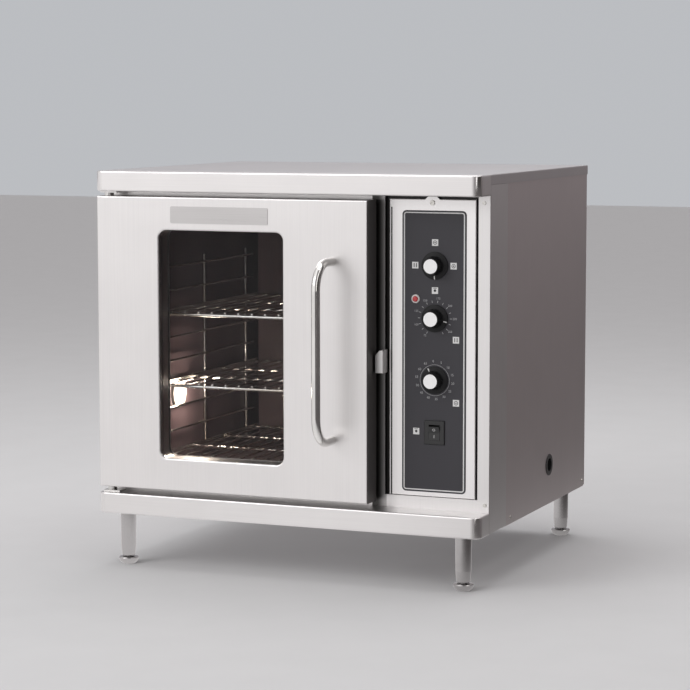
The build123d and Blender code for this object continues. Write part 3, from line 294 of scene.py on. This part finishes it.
# Painted shade on the jamb: darkest next to the door and lighter towards the panel bay.
in_jamb = (frame_x > door_high.x - 0.012) * (frame_x < jamb_end)
jamb_shade_fade = 1.0 - frame_steel_painted_shade.step(frame_x, door_high.x - 0.002, jamb_end) * 0.55
paint_shade(frame_steel_painted_shade, in_jamb * jamb_shade_fade, (0.07, 0.068, 0.066))
ledge_depth, return_width = 0.0012, 0.004
# Painted shade on the sunk ledge and the inner faces of the bay: all that lies deeper than the front face,
# except the side returns.
sunk = ((frame_y > face_low.y + ledge_depth) * (frame_x < face_high.x - return_width)
        * (frame_x > face_low.x + return_width))
paint_shade(frame_steel_painted_shade, sunk, (0.035, 0.034, 0.034))
frame_steel_painted_shade.on("front_frame")

# Control panel: a stainless sheet that is screwed to the bay by a tab at its top.
# It has a folded rim down its left side, and a painted shadow line stands for the crease between the rim and
# the face.
panel_steel = satin("panel_steel", (0.88, 0.864, 0.863), (0.82, 0.805, 0.803), 0.36, upright_lines)
panel_x = panel_steel.axis(panel_steel.place, 0)
panel_z = panel_steel.axis(panel_steel.place, 2)
rim_width, crease_shadow_width, tab_height = 0.0040, 0.0026, 0.021
# Painted shadow: a dark line just right of the rim, stopping below the tab.
crease_shadow = ((panel_x > bay_low.x + rim_width) * (panel_x < bay_low.x + rim_width + crease_shadow_width)
          * (panel_z < bay_high.z - tab_height))
paint_shade(panel_steel, crease_shadow, (0.03, 0.03, 0.03))
panel_steel.on("control_panel")


# Walls, roof and floor of the case: satin stainless sheets, a little darker than the front.
# The side and back sheets are ground upright, the roof and the base pan across.
wall_steel = satin("wall_steel", (0.76, 0.708, 0.708), (0.70, 0.650, 0.650), 0.40, upright_lines)
wall_steel.on("side_panel_left", "side_panel_right", "back_panel")
roof_steel = satin("roof_steel", (0.68, 0.66, 0.665), (0.60, 0.585, 0.59), 0.36, across_lines)
roof_steel.on("top_cover", "base_pan")


# Hidden sheets: spangled galvanised steel for the inner walls, the motor plate and the blower wheel.
# The spangle is a coarse patchwork of pale and dark crystals.
galvanised = Finish("galvanised", (0.55, 0.56, 0.58), 0.42, metallic=0.9)
crystals = galvanised.node("TexVoronoi", inputs={"Vector": galvanised.place, "Scale": 130.0}, out=1)
patch = galvanised.node("SeparateColor", inputs={"Color": crystals})
galvanised.put("Base Color", galvanised.blend(patch, (0.44, 0.45, 0.47, 1.0), (0.66, 0.67, 0.69, 1.0)))
galvanised.put("Roughness", 0.36 + patch * 0.16)
galvanised.on("compartment_wall", "motor_plate", "blower_wheel")


# Cavity: porcelain enamel fired on to the steel box and the baffle,
# dark plum brown with fine pale specks, and a soft gloss.
enamel = Finish("enamel", (0.120, 0.080, 0.088), 0.30, Coat_Weight=0.3, Coat_Roughness=0.12)
specks = enamel.node("TexVoronoi", inputs={"Vector": enamel.place, "Scale": 900.0}, out=0)
speck = 1.0 - enamel.step(specks, 0.10, 0.22)
soot = enamel.noise(enamel.place, 7.0, 5.0)
ground_coat = enamel.blend(enamel.step(soot, 0.35, 0.70),
                           (0.115, 0.078, 0.086, 1.0), (0.170, 0.118, 0.126, 1.0))
enamel.put("Base Color", enamel.blend(speck * 0.45, ground_coat, (0.34, 0.31, 0.32, 1.0)))
enamel.put("Roughness", 0.26 + soot * 0.14)
enamel.raise_by(enamel.noise(enamel.place, 260.0), 0.0001, 0.3)
enamel.on("cavity_liner", "rear_baffle")


# Mineral wool: a thick blanket of tangled yellow brown fibres round the cavity.
# It is cut to size and pushed into place.
wool = Finish("mineral_wool", (0.62, 0.54, 0.30), 0.95, Sheen_Weight=0.3)
fibres = wool.noise(wool.stretched((1.0, 1.0, 4.0)), 240.0, 6.0)
tufts = wool.noise(wool.place, 26.0, 4.0)
wool.put("Base Color", wool.blend(wool.step(fibres * 0.6 + tufts * 0.4, 0.35, 0.65),
                                  (0.40, 0.33, 0.17, 1.0), (0.74, 0.67, 0.42, 1.0)))
wool.raise_by(fibres + tufts, 0.004, 0.8)
wool.on("insulation")


# Door gasket: a woven tube of heatproof yarn, clipped round the mouth of the cavity.
# The weave runs slantwise, and the ring is grey with handling.
weave = Finish("gasket_weave", (0.16, 0.155, 0.15), 0.85)
strand = weave.node("TexWave", {"bands_direction": "DIAGONAL"},
                    {"Vector": weave.place, "Scale": 260.0, "Distortion": 1.0, "Detail": 1.0}, out=1)
weave.put("Base Color", weave.blend(strand, (0.09, 0.088, 0.085, 1.0), (0.24, 0.235, 0.225, 1.0)))
weave.raise_by(strand, 0.0006, 0.8)
weave.on("door_gasket")


# Chromed wire: the racks and the rails that carry them, bright but dulled a little by heat.
# Straw and brown heat tint gathers in patches.
def bright(name, colour, tint, roughness):
    """Plated or polished metal with faint wipe marks and a patchy tint."""
    finish = Finish(name, colour, roughness, metallic=1.0)
    wipes = finish.noise(finish.stretched((3.0, 3.0, 0.6)), 90.0, 3.0)
    patches = finish.noise(finish.place, 12.0, 3.0)
    finish.put("Base Color", finish.blend(finish.step(patches, 0.40, 0.70), (*colour, 1.0), (*tint, 1.0)))
    finish.put("Roughness", roughness + wipes * 0.08)
    finish.raise_by(wipes, 0.00002, 0.4)
    return finish


wire = bright("chromed_wire", (0.80, 0.79, 0.77), (0.62, 0.56, 0.50), 0.16)
wire.on("rack_lower", "rack_middle", "rack_upper", "rack_guide_left", "rack_guide_right")


# Handle, legs and feet: polished stainless tube and turned stainless steel.
# The handle is bent to a bow and bolted from inside the door.
polished = bright("polished", (0.82, 0.81, 0.79), (0.74, 0.73, 0.715), 0.10)
polished.on("door_handle")
# The legs and feet take a darker copy of the polished steel: painted shade for the dark surroundings that
# they reflect.
leg_steel_painted_shade = bright("leg_steel_painted_shade", (0.47, 0.457, 0.457), (0.39, 0.378, 0.378), 0.15)
leg_steel_painted_shade.on("leg_front_left", "leg_front_right", "leg_back_left", "leg_back_right",
             "foot_front_left", "foot_front_right", "foot_back_left", "foot_back_right")


# Pins, spindles, shaft and probe: ground and plated steel rod, with faint wipe marks.
# The pins carry the door, and the probe hangs in the cavity on its capillary.
turned = bright("turned_steel", (0.72, 0.71, 0.70), (0.58, 0.57, 0.56), 0.22)
turned.on("hinge_pins", "motor_shaft", "function_spindle", "thermostat_spindle", "timer_spindle",
          "temperature_probe")


# Heating rings: a metal sheath over the element, bent to a ring round the blower wheel.
# Heat has oxidised it to a mottled dark grey brown.
sheath = Finish("element_sheath", (0.16, 0.145, 0.14), 0.55, metallic=0.7)
scale_marks = sheath.noise(sheath.place, 140.0, 5.0)
sheath.put("Base Color", sheath.blend(sheath.step(scale_marks, 0.35, 0.65),
                                      (0.09, 0.082, 0.08, 1.0), (0.24, 0.21, 0.20, 1.0)))
sheath.put("Roughness", 0.45 + scale_marks * 0.25)
sheath.on("heating_elements")


# Motor: a pressed steel can, painted semi-gloss dark grey with a fine orange-peel.
# It is bolted to the motor plate behind the cavity, and dust settles on it.
motor_paint = Finish("motor_paint", (0.12, 0.125, 0.135), 0.42)
peel = motor_paint.noise(motor_paint.place, 320.0, 2.0)
dust = motor_paint.noise(motor_paint.place, 14.0, 4.0)
motor_paint.put("Base Color", motor_paint.blend(motor_paint.step(dust, 0.45, 0.75),
                                                (0.11, 0.115, 0.125, 1.0), (0.20, 0.195, 0.19, 1.0)))
motor_paint.raise_by(peel, 0.0002, 0.4)
motor_paint.on("blower_motor")


# Window: two panes of clear toughened glass in a steel spacer.
# The glass is almost clear face on and takes a sheen at a slant.
pane = Finish("window_glass", (0.03, 0.03, 0.032), 0.03, Specular_IOR_Level=0.6)
slant = pane.node("LayerWeight", inputs={"Blend": 0.16}, out=0)
film = pane.noise(pane.place, 5.0, 4.0)
pane.put("Alpha", 0.05 + slant * 0.55 + film * 0.03)
pane.put("Roughness", 0.02 + film * 0.03)
pane.on("outer_glass", "inner_glass")


# Oven lamp: a clear bulb in a white ceramic holder, behind a round pressed lens.
# The lens is screwed to the left wall of the cavity.
lens = Finish("lamp_lens", (0.66, 0.63, 0.58), 0.22, Coat_Weight=0.6)
ripple = lens.node("TexVoronoi", inputs={"Vector": lens.place, "Scale": 220.0}, out=0)
lens.put("Base Color", lens.blend(ripple, (0.74, 0.71, 0.66, 1.0), (0.50, 0.47, 0.43, 1.0)))
lens.raise_by(ripple, 0.0008, 0.6)
lens.on("lamp_lens")
ceramic = Finish("ceramic_holder", (0.80, 0.78, 0.72), 0.40, Coat_Weight=0.4)
glaze = ceramic.noise(ceramic.place, 60.0, 3.0)
ceramic.put("Base Color", ceramic.blend(glaze, (0.72, 0.70, 0.64, 1.0), (0.86, 0.84, 0.79, 1.0)))
ceramic.put("Roughness", 0.30 + glaze * 0.2)
ceramic.on("oven_lamp")
lens_low, lens_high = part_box("lamp_lens")
glow_data = bpy.data.lights.new("oven_glow", "POINT")
glow_data.energy = 0.7
glow_data.color = (1.0, 0.86, 0.72)
glow_data.shadow_soft_size = 0.02
oven_glow = bpy.data.objects.new("oven_glow", glow_data)
clear_of_lens = 0.030
oven_glow.location = (lens_high.x + clear_of_lens, (lens_low.y + lens_high.y) / 2,
                      (lens_low.z + lens_high.z) / 2)
bpy.context.collection.objects.link(oven_glow)


# Control overlay: a charcoal plastic film with a fine grain.
# It is cut to shape and stuck to the stainless panel.
overlay = Finish("control_overlay", (0.032, 0.030, 0.038), 0.50)
film_grain = overlay.noise(overlay.place, 1400.0, 2.0)
overlay_low, overlay_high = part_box("control_overlay")
overlay.put("Base Color", overlay.blend(film_grain, (0.027, 0.026, 0.032, 1.0), (0.042, 0.040, 0.048, 1.0)))
overlay.put("Roughness", 0.44 + film_grain * 0.14)
overlay.raise_by(film_grain, 0.00005, 0.5)
overlay.on("control_overlay")


# Printing on the overlay: a thin rounded border line, and dial marks with plain numbers.
# Each mark is a thin patch of white ink.
ink = Finish("white_ink", (0.78, 0.78, 0.77), 0.55)
worn = ink.noise(ink.place, 700.0, 3.0)
ink.put("Base Color", ink.blend(worn, (0.66, 0.66, 0.655, 1.0), (0.84, 0.84, 0.83, 1.0)))
ink_rise = 0.0001
print_y = overlay_low.y - ink_rise
facing = Matrix.Rotation(math.radians(90), 4, "X")


def piece(name, mesh, body, finish):
    """Makes an object of a bmesh, in place, that rides on a body."""
    data = bpy.data.meshes.new(name)
    bmesh.ops.recalc_face_normals(mesh, faces=mesh.faces)
    mesh.to_mesh(data)
    mesh.free()
    data.materials.append(finish.material)
    made = bpy.data.objects.new(name, data)
    bpy.context.collection.objects.link(made)
    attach(made, body)
    return made


def thicken(mesh, faces, depth):
    """Gives flat faces in a front plane a thickness, towards the front."""
    raised = bmesh.ops.extrude_face_region(mesh, geom=faces)
    moved = [v for v in raised["geom"] if isinstance(v, bmesh.types.BMVert)]
    bmesh.ops.translate(mesh, verts=moved, vec=(0, -depth, 0))


def bar(mesh, x, z, length, width, turn=0.0, y=None, lean=0.0):
    """A flat upright mark in a front plane, turned clockwise and leant back by so many degrees."""
    before = set(mesh.faces)
    step = bmesh.ops.create_grid(mesh, x_segments=1, y_segments=1, size=0.5)
    bmesh.ops.scale(mesh, verts=step["verts"], vec=(width, length, 1))
    place = (Matrix.Translation((x, print_y if y is None else y, z))
             @ Matrix.Rotation(math.radians(turn), 4, "Y")
             @ Matrix.Rotation(math.radians(90 - lean), 4, "X"))
    bmesh.ops.transform(mesh, matrix=place, verts=step["verts"])
    thicken(mesh, [f for f in mesh.faces if f not in before], ink_rise)


def disc(mesh, x, z, radius, y=None, hole=0.0, sides=24):
    """A flat round mark or ring in a front plane."""
    before = set(mesh.faces)
    rim = bmesh.ops.create_circle(mesh, segments=sides, radius=radius, cap_ends=hole == 0.0)
    verts = list(rim["verts"])
    if hole:
        inner = bmesh.ops.create_circle(mesh, segments=sides, radius=hole)
        verts += inner["verts"]
        edges = [e for e in mesh.edges if e.verts[0] in verts and e.verts[1] in verts]
        bmesh.ops.bridge_loops(mesh, edges=edges)
    place = Matrix.Translation((x, print_y if y is None else y, z)) @ facing
    bmesh.ops.transform(mesh, matrix=place, verts=verts)
    thicken(mesh, [f for f in mesh.faces if f not in before], ink_rise)


def add_mesh(mesh, data, place):
    """Adds a finished mesh to a bmesh, moved to its place, and returns its faces."""
    before_faces, before_verts = set(mesh.faces), set(mesh.verts)
    mesh.from_mesh(data)
    bmesh.ops.transform(mesh, matrix=place, verts=[v for v in mesh.verts if v not in before_verts])
    bpy.data.meshes.remove(data)
    return [f for f in mesh.faces if f not in before_faces]


def figures(mesh, text, x, z, size):
    """Plain figures, flat on the overlay, centred on a point."""
    curve = bpy.data.curves.new("figure", "FONT")
    curve.body = text
    curve.size = size
    curve.align_x = "CENTER"
    curve.align_y = "CENTER"
    curve.resolution_u = 2
    holder = bpy.data.objects.new("figure", curve)
    bpy.context.collection.objects.link(holder)
    data = bpy.data.meshes.new_from_object(holder)
    faces = add_mesh(mesh, data, Matrix.Translation((x, print_y, z)) @ facing)
    thicken(mesh, faces, ink_rise)
    bpy.data.objects.remove(holder)
    bpy.data.curves.remove(curve)


border = bmesh.new()
border_in = 0.0030
border_wide = 0.0021
overlay_rounding = 0.008
mid = (overlay_low + overlay_high) / 2
for inset in (border_in, border_in + border_wide):
    loop = bmesh.ops.create_grid(border, x_segments=1, y_segments=1, size=0.5)["verts"]
    filled = [f for f in border.faces if set(f.verts) == set(loop)]
    bmesh.ops.delete(border, geom=filled, context="FACES_ONLY")
    bmesh.ops.scale(border, verts=loop, vec=(overlay_high.x - overlay_low.x - 2 * inset,
                                             overlay_high.z - overlay_low.z - 2 * inset, 1))
    bmesh.ops.bevel(border, geom=loop, offset=overlay_rounding - inset, offset_type="OFFSET", segments=5,
                    profile=0.5, affect="VERTICES", material=-1)
bmesh.ops.bridge_loops(border, edges=border.edges)
bmesh.ops.transform(border, verts=border.verts,
                    matrix=Matrix.Translation((mid.x, print_y, mid.z)) @ facing)
thicken(border, list(border.faces), ink_rise)
piece("overlay_border", border, "oven_body", ink)

dial_names = ("function", "thermostat", "timer")
dials = {}
for dial in dial_names:
    low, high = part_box(f"{dial}_knob")
    dials[dial] = (low + high) / 2
marks = bmesh.new()
warm = dials["thermostat"]
tick_ring, tick_long, tick_wide = 0.0305, 0.0040, 0.0010
degrees_x, degrees_z, degrees_size = 0.0380, 0.0365, 0.0055
for step in range(16):
    angle = math.radians(-150 + 20 * step)
    bar(marks, warm.x + tick_ring * math.sin(angle), warm.z + tick_ring * math.cos(angle),
        tick_long, tick_wide, turn=math.degrees(angle))
    if step % 2 == 0:
        figures(marks, str(75 + 12 * step + step // 2), warm.x + degrees_x * math.sin(angle),
                warm.z + degrees_z * math.cos(angle), degrees_size)
clock = dials["timer"]
clock_ring, clock_ring_hole = 0.0285, 0.0279
minutes_x, minutes_z, minutes_size = 0.0350, 0.0345, 0.0062
disc(marks, clock.x, clock.z, clock_ring, hole=clock_ring_hole, sides=56)
for step in range(14):
    angle = math.radians(-5 + 360 / 14 * step)
    figures(marks, str(5 * step), clock.x + minutes_x * math.sin(angle),
            clock.z + minutes_z * math.cos(angle), minutes_size)
faint_ink = Finish("faint_ink", (0.42, 0.42, 0.43), 0.55)
faded = faint_ink.noise(faint_ink.place, 600.0, 3.0)
faint_ink.put("Base Color", faint_ink.blend(faded, (0.30, 0.30, 0.31, 1.0), (0.52, 0.52, 0.53, 1.0)))
piece("dial_marks", marks, "oven_body", faint_ink)


# Signs: small white squares beside the controls, printed on the overlay.
# Each has a plain dark mark: a ring, two bars, or a dot with a line.
signs = bmesh.new()
sign_marks = bmesh.new()
sign_size = 0.0120
ring_radius, ring_hole, ring_dot = 0.0038, 0.0028, 0.0012
rocker_low, rocker_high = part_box("power_rocker")
dials["rocker"] = (rocker_low + rocker_high) / 2
mark_y = print_y - ink_rise
for dial, x, z, kind in (
    ("function", 0.0, 0.0415, "ring"),
    ("function", -0.0380, 0.0, "bars"),
    ("function", 0.0355, 0.0, "ring"),
    ("function", 0.0, -0.0450, "dot"),
    ("thermostat", 0.0405, -0.0380, "bars"),
    ("timer", 0.0410, -0.0400, "ring"),
    ("rocker", -0.0355, 0.0020, "dot"),
):
    sx, sz = dials[dial].x + x, dials[dial].z + z
    bar(signs, sx, sz, sign_size, sign_size)
    if kind == "ring":
        disc(sign_marks, sx, sz, ring_radius, y=mark_y, hole=ring_hole)
        disc(sign_marks, sx, sz, ring_dot, y=mark_y)
    elif kind == "bars":
        for side in (-1, 1):
            bar(sign_marks, sx + side * 0.0022, sz, 0.0075, 0.0016, y=mark_y)
    else:
        disc(sign_marks, sx, sz, 0.0024, y=mark_y)
        bar(sign_marks, sx, sz + 0.0042, 0.0009, 0.0070, y=mark_y)
piece("signs", signs, "oven_body", ink)
dark_ink = Finish("dark_ink", (0.03, 0.03, 0.035), 0.55)
dark_ink.put("Roughness", 0.45 + dark_ink.noise(dark_ink.place, 700.0, 3.0) * 0.2)
piece("sign_marks", sign_marks, "oven_body", dark_ink)


# Knobs: moulded black plastic with a fluted grip; a pale cap is let into the nose
# and a pale line on the skirt points to the dial.
knob_black = Finish("knob_black", (0.012, 0.012, 0.013), 0.48, Specular_IOR_Level=0.25)
mould = knob_black.noise(knob_black.place, 500.0, 3.0)
wear = knob_black.noise(knob_black.place, 60.0, 4.0)
knob_black.put("Base Color", knob_black.blend(knob_black.step(wear, 0.5, 0.8),
                                              (0.010, 0.010, 0.011, 1.0), (0.020, 0.020, 0.020, 1.0)))
knob_black.put("Roughness", 0.42 + mould * 0.16)
knob_black.on("function_knob", "thermostat_knob", "timer_knob")
cap_radius, cap_rim, cap_thick, cap_sunk = 0.0134, 0.0130, 0.0010, 0.00032
pointer_out, pointer_long, pointer_wide, skirt_back, skirt_lean = 0.0215, 0.0062, 0.0018, 0.0029, 12.9
cap_white = Finish("cap_white", (0.88, 0.88, 0.88), 0.32, Coat_Weight=0.3)
soil = cap_white.noise(cap_white.place, 240.0, 4.0)
cap_white.put("Base Color", cap_white.blend(soil, (0.93, 0.93, 0.93, 1.0), (0.98, 0.98, 0.98, 1.0)))
for dial, angle in (("function", 180.0), ("thermostat", 105.0), ("timer", -30.0)):
    low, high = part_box(f"{dial}_knob")
    centre = dials[dial]
    body = f"{dial}_control"
    cap = bmesh.new()
    rim = bmesh.ops.create_cone(cap, segments=40, radius1=cap_radius, radius2=cap_rim, depth=cap_thick,
                                cap_ends=True)
    bmesh.ops.transform(cap, verts=rim["verts"],
                        matrix=Matrix.Translation((centre.x, low.y + cap_sunk, centre.z)) @ facing)
    piece(f"{dial}_cap", cap, body, cap_white)
    pointer = bmesh.new()
    bar(pointer, centre.x + pointer_out * math.sin(math.radians(angle)),
        centre.z + pointer_out * math.cos(math.radians(angle)), pointer_long, pointer_wide, turn=angle,
        y=high.y - skirt_back, lean=skirt_lean)
    piece(f"{dial}_pointer", pointer, body, ink)


# Rocker switch: moulded black plastic in a black bezel, pressed into the panel from the front.
# Its two faces carry the plain marks for on and off.
rocker_black = Finish("switch_black", (0.015, 0.015, 0.016), 0.30)
satin_mould = rocker_black.noise(rocker_black.place, 700.0, 2.0)
rocker_black.put("Base Color", rocker_black.blend(satin_mould, (0.012, 0.012, 0.013, 1.0),
                                                  (0.026, 0.026, 0.027, 1.0)))
rocker_black.put("Roughness", 0.26 + satin_mould * 0.14)
rocker_black.on("power_rocker", "switch_housing", "conduit_bushing")

pivot = Vector((dials["rocker"].x, -0.2255, 0.2830))
for name, spot, lean in (("off", (0.0, -0.00836, 0.00515), 20.7), ("on", (0.0, -0.00662, -0.00723), -4.6)):
    mark = bmesh.new()
    if name == "off":
        disc(mark, 0.0, 0.0, 0.0026, y=0.0, hole=0.0019)
    else:
        bar(mark, 0.0, 0.0, 0.0052, 0.0009, y=0.0)
    bmesh.ops.transform(mark, verts=mark.verts, matrix=Matrix.Translation(pivot + Vector(spot))
                        @ Matrix.Rotation(math.radians(lean), 4, "X"))
    piece(f"rocker_{name}_mark", mark, "rocker", ink)


# Switch bodies, contactor and terminal block: brown-black phenolic mouldings.
# They stand behind the panel and on the wall of the control bay.
phenolic = Finish("phenolic", (0.10, 0.085, 0.075), 0.48)
swirl = phenolic.noise(phenolic.place, 90.0, 5.0)
phenolic.put("Base Color", phenolic.blend(swirl, (0.07, 0.06, 0.055, 1.0), (0.15, 0.125, 0.11, 1.0)))
phenolic.put("Roughness", 0.40 + swirl * 0.2)
phenolic.on("function_switch", "thermostat", "timer", "contactor", "terminal_block")


# Indicator light: a clear red lens in a pale ring, pushed into a hole of the overlay.
# The colours part at the edge of the lens.
light_low, light_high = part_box("indicator_light")
light_mid = (light_low + light_high) / 2
signal = Finish("indicator", (0.60, 0.03, 0.03), 0.18, Coat_Weight=0.8)
local = signal.node("Mapping", inputs={"Vector": signal.place, "Location": (-light_mid.x, 0.0, -light_mid.z),
                                       "Scale": (1.0, 0.0, 1.0)})
from_axis = signal.node("VectorMath", {"operation": "LENGTH"}, {0: local}, out=1)
lens_radius = 0.00535
is_lens = from_axis < lens_radius
facets = signal.node("TexVoronoi", inputs={"Vector": signal.place, "Scale": 700.0}, out=0)
red = signal.blend(facets, (0.62, 0.020, 0.028, 1.0), (0.36, 0.008, 0.014, 1.0))
signal.put("Base Color", signal.blend(is_lens, (0.74, 0.70, 0.68, 1.0), red))
signal.put("Roughness", 0.16 + facets * 0.1)
signal.on("indicator_light")


# Catch magnet: a bare block of sintered ferrite, dark grey and finely gritty.
# It sits in its bracket on the jamb and holds the door shut.
ferrite = Finish("ferrite", (0.07, 0.068, 0.07), 0.6)
grit = ferrite.noise(ferrite.place, 900.0, 4.0)
ferrite.put("Base Color", ferrite.blend(grit, (0.05, 0.048, 0.05, 1.0), (0.12, 0.115, 0.115, 1.0)))
ferrite.on("catch_magnet")


# Screws: plated slotted heads, turned and cut across.
# They hold the walls, the frame and the tab of the panel.
plated = bright("screw_plate", (0.70, 0.69, 0.66), (0.50, 0.48, 0.45), 0.24)


def screw(mesh, spot, turn, radius):
    """A slotted head on a face. The turn takes +Z to the way the head points."""
    head = bmesh.new()
    slot_half = radius * 0.13
    height = radius * 0.42
    bmesh.ops.create_cone(head, cap_ends=True, segments=20, radius1=radius, radius2=radius * 0.9,
                          depth=height)
    for side in (-1, 1):
        bmesh.ops.bisect_plane(head, geom=[*head.verts, *head.edges, *head.faces],
                               plane_co=(0, side * slot_half, 0), plane_no=(0, 1, 0))
    groove = [f for f in head.faces if f.normal.z > 0.9 and abs(f.calc_center_median().y) < slot_half]
    sunk = bmesh.ops.extrude_face_region(head, geom=groove)
    moved = [v for v in sunk["geom"] if isinstance(v, bmesh.types.BMVert)]
    bmesh.ops.translate(head, verts=moved, vec=(0, 0, -height * 0.6))
    bmesh.ops.delete(head, geom=groove, context="FACES_ONLY")
    bmesh.ops.translate(head, verts=head.verts, vec=(0, 0, height / 2))
    data = bpy.data.meshes.new("screw_head")
    head.to_mesh(data)
    head.free()
    add_mesh(mesh, data, Matrix.Translation(spot) @ turn)


frame_screw, tab_screw, wall_screw = 0.0036, 0.0050, 0.0034
screw_inset = 0.0125
facing_front = facing @ Matrix.Rotation(math.radians(35), 4, "Z")
screws = bmesh.new()
for x, z in ((0.3715, 0.700), (0.375, 0.155)):
    screw(screws, (x, face_low.y, z), facing_front, frame_screw)
screw(screws, ((bay_low.x + bay_high.x) / 2, bay_low.y - 0.0001, bay_high.z - screw_inset), facing_front,
      tab_screw)
for side, node in ((-1, "side_panel_left"), (1, "side_panel_right")):
    low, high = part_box(node)
    outward = Matrix.Rotation(math.radians(90 * side), 4, "Y") @ Matrix.Rotation(math.radians(20), 4, "Z")
    x = high.x if side == 1 else low.x
    for y in (face_low.y + 0.1228, face_low.y + 0.578):
        screw(screws, (x, y, low.z + screw_inset), outward, wall_screw)
piece("case_screws", screws, "oven_body", plated)


# Band corners: a curved sheet of the same steel closes each rounded end of the bands.
# Its top and bottom edges are folded inwards like those of the bands.
band_rounding = 0.0170
corner_radius = 0.0169
corner_fold = 0.0030
corner_sheet = 0.0012
corner_gap = 0.0002
corner_start, corner_sweep = 8, 74
corner_steel = satin("corner_steel", (0.79, 0.772, 0.768), (0.72, 0.703, 0.700), 0.18, across_lines)
corners = bmesh.new()
for band in ("top_band", "bottom_band"):
    low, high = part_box(band)
    foot, head = low.z + corner_gap, high.z - corner_gap
    outer = []
    for level, first in ((foot + corner_fold, -90), (head - corner_fold, 0)):
        for fifth in range(6):
            fold = math.radians(first + 18 * fifth)
            outer.append((corner_radius - corner_fold + corner_fold * math.cos(fold),
                          level + corner_fold * math.sin(fold)))
    inner = [(radius - corner_sheet if radius > corner_radius - corner_fold / 2 else radius,
              min(max(z, foot + corner_sheet), head - corner_sheet)) for radius, z in reversed(outer)]
    for side in (-1, 1):
        centre = Vector((side * (high.x - band_rounding), low.y + band_rounding, 0.0))
        start = math.radians(side * corner_start)
        way = Vector((math.sin(start), -math.cos(start), 0.0))
        outline = [corners.verts.new(centre + radius * way + Vector((0.0, 0.0, z)))
                   for radius, z in outer + inner]
        rim = [corners.edges.new(pair) for pair in zip(outline, outline[1:] + outline[:1])]
        before = set(corners.faces)
        bmesh.ops.spin(corners, geom=outline + rim, cent=centre, axis=(0.0, 0.0, 1.0),
                       angle=math.radians(side * corner_sweep), steps=16)
        for face in set(corners.faces) - before:
            face.smooth = True
bmesh.ops.holes_fill(corners, edges=[e for e in corners.edges if e.is_boundary])
piece("band_corners", corners, "oven_body", corner_steel)


# Name plate: a thin blank plate of brushed steel with rounded corners.
# It is fixed to the door above the window and ground along its length, a little darker than the door.
plate_finish = satin("plate_steel", (0.60, 0.585, 0.582), (0.52, 0.507, 0.505), 0.28, across_lines)
plate_mid = (-0.126, 0.67075)
plate_width, plate_height, plate_rounding, plate_thick = 0.198, 0.0315, 0.003, 0.0009
plate = bmesh.new()
plate_verts = bmesh.ops.create_grid(plate, x_segments=1, y_segments=1, size=0.5)["verts"]
bmesh.ops.scale(plate, verts=plate_verts, vec=(plate_width, plate_height, 1))
bmesh.ops.bevel(plate, geom=plate_verts, offset=plate_rounding, offset_type="OFFSET", segments=4,
                profile=0.5, affect="VERTICES", material=-1)
bmesh.ops.transform(plate, verts=plate.verts,
                    matrix=Matrix.Translation((plate_mid[0], door_low.y, plate_mid[1])) @ facing)
thicken(plate, list(plate.faces), plate_thick)
piece("name_plate", plate, "door", plate_finish)
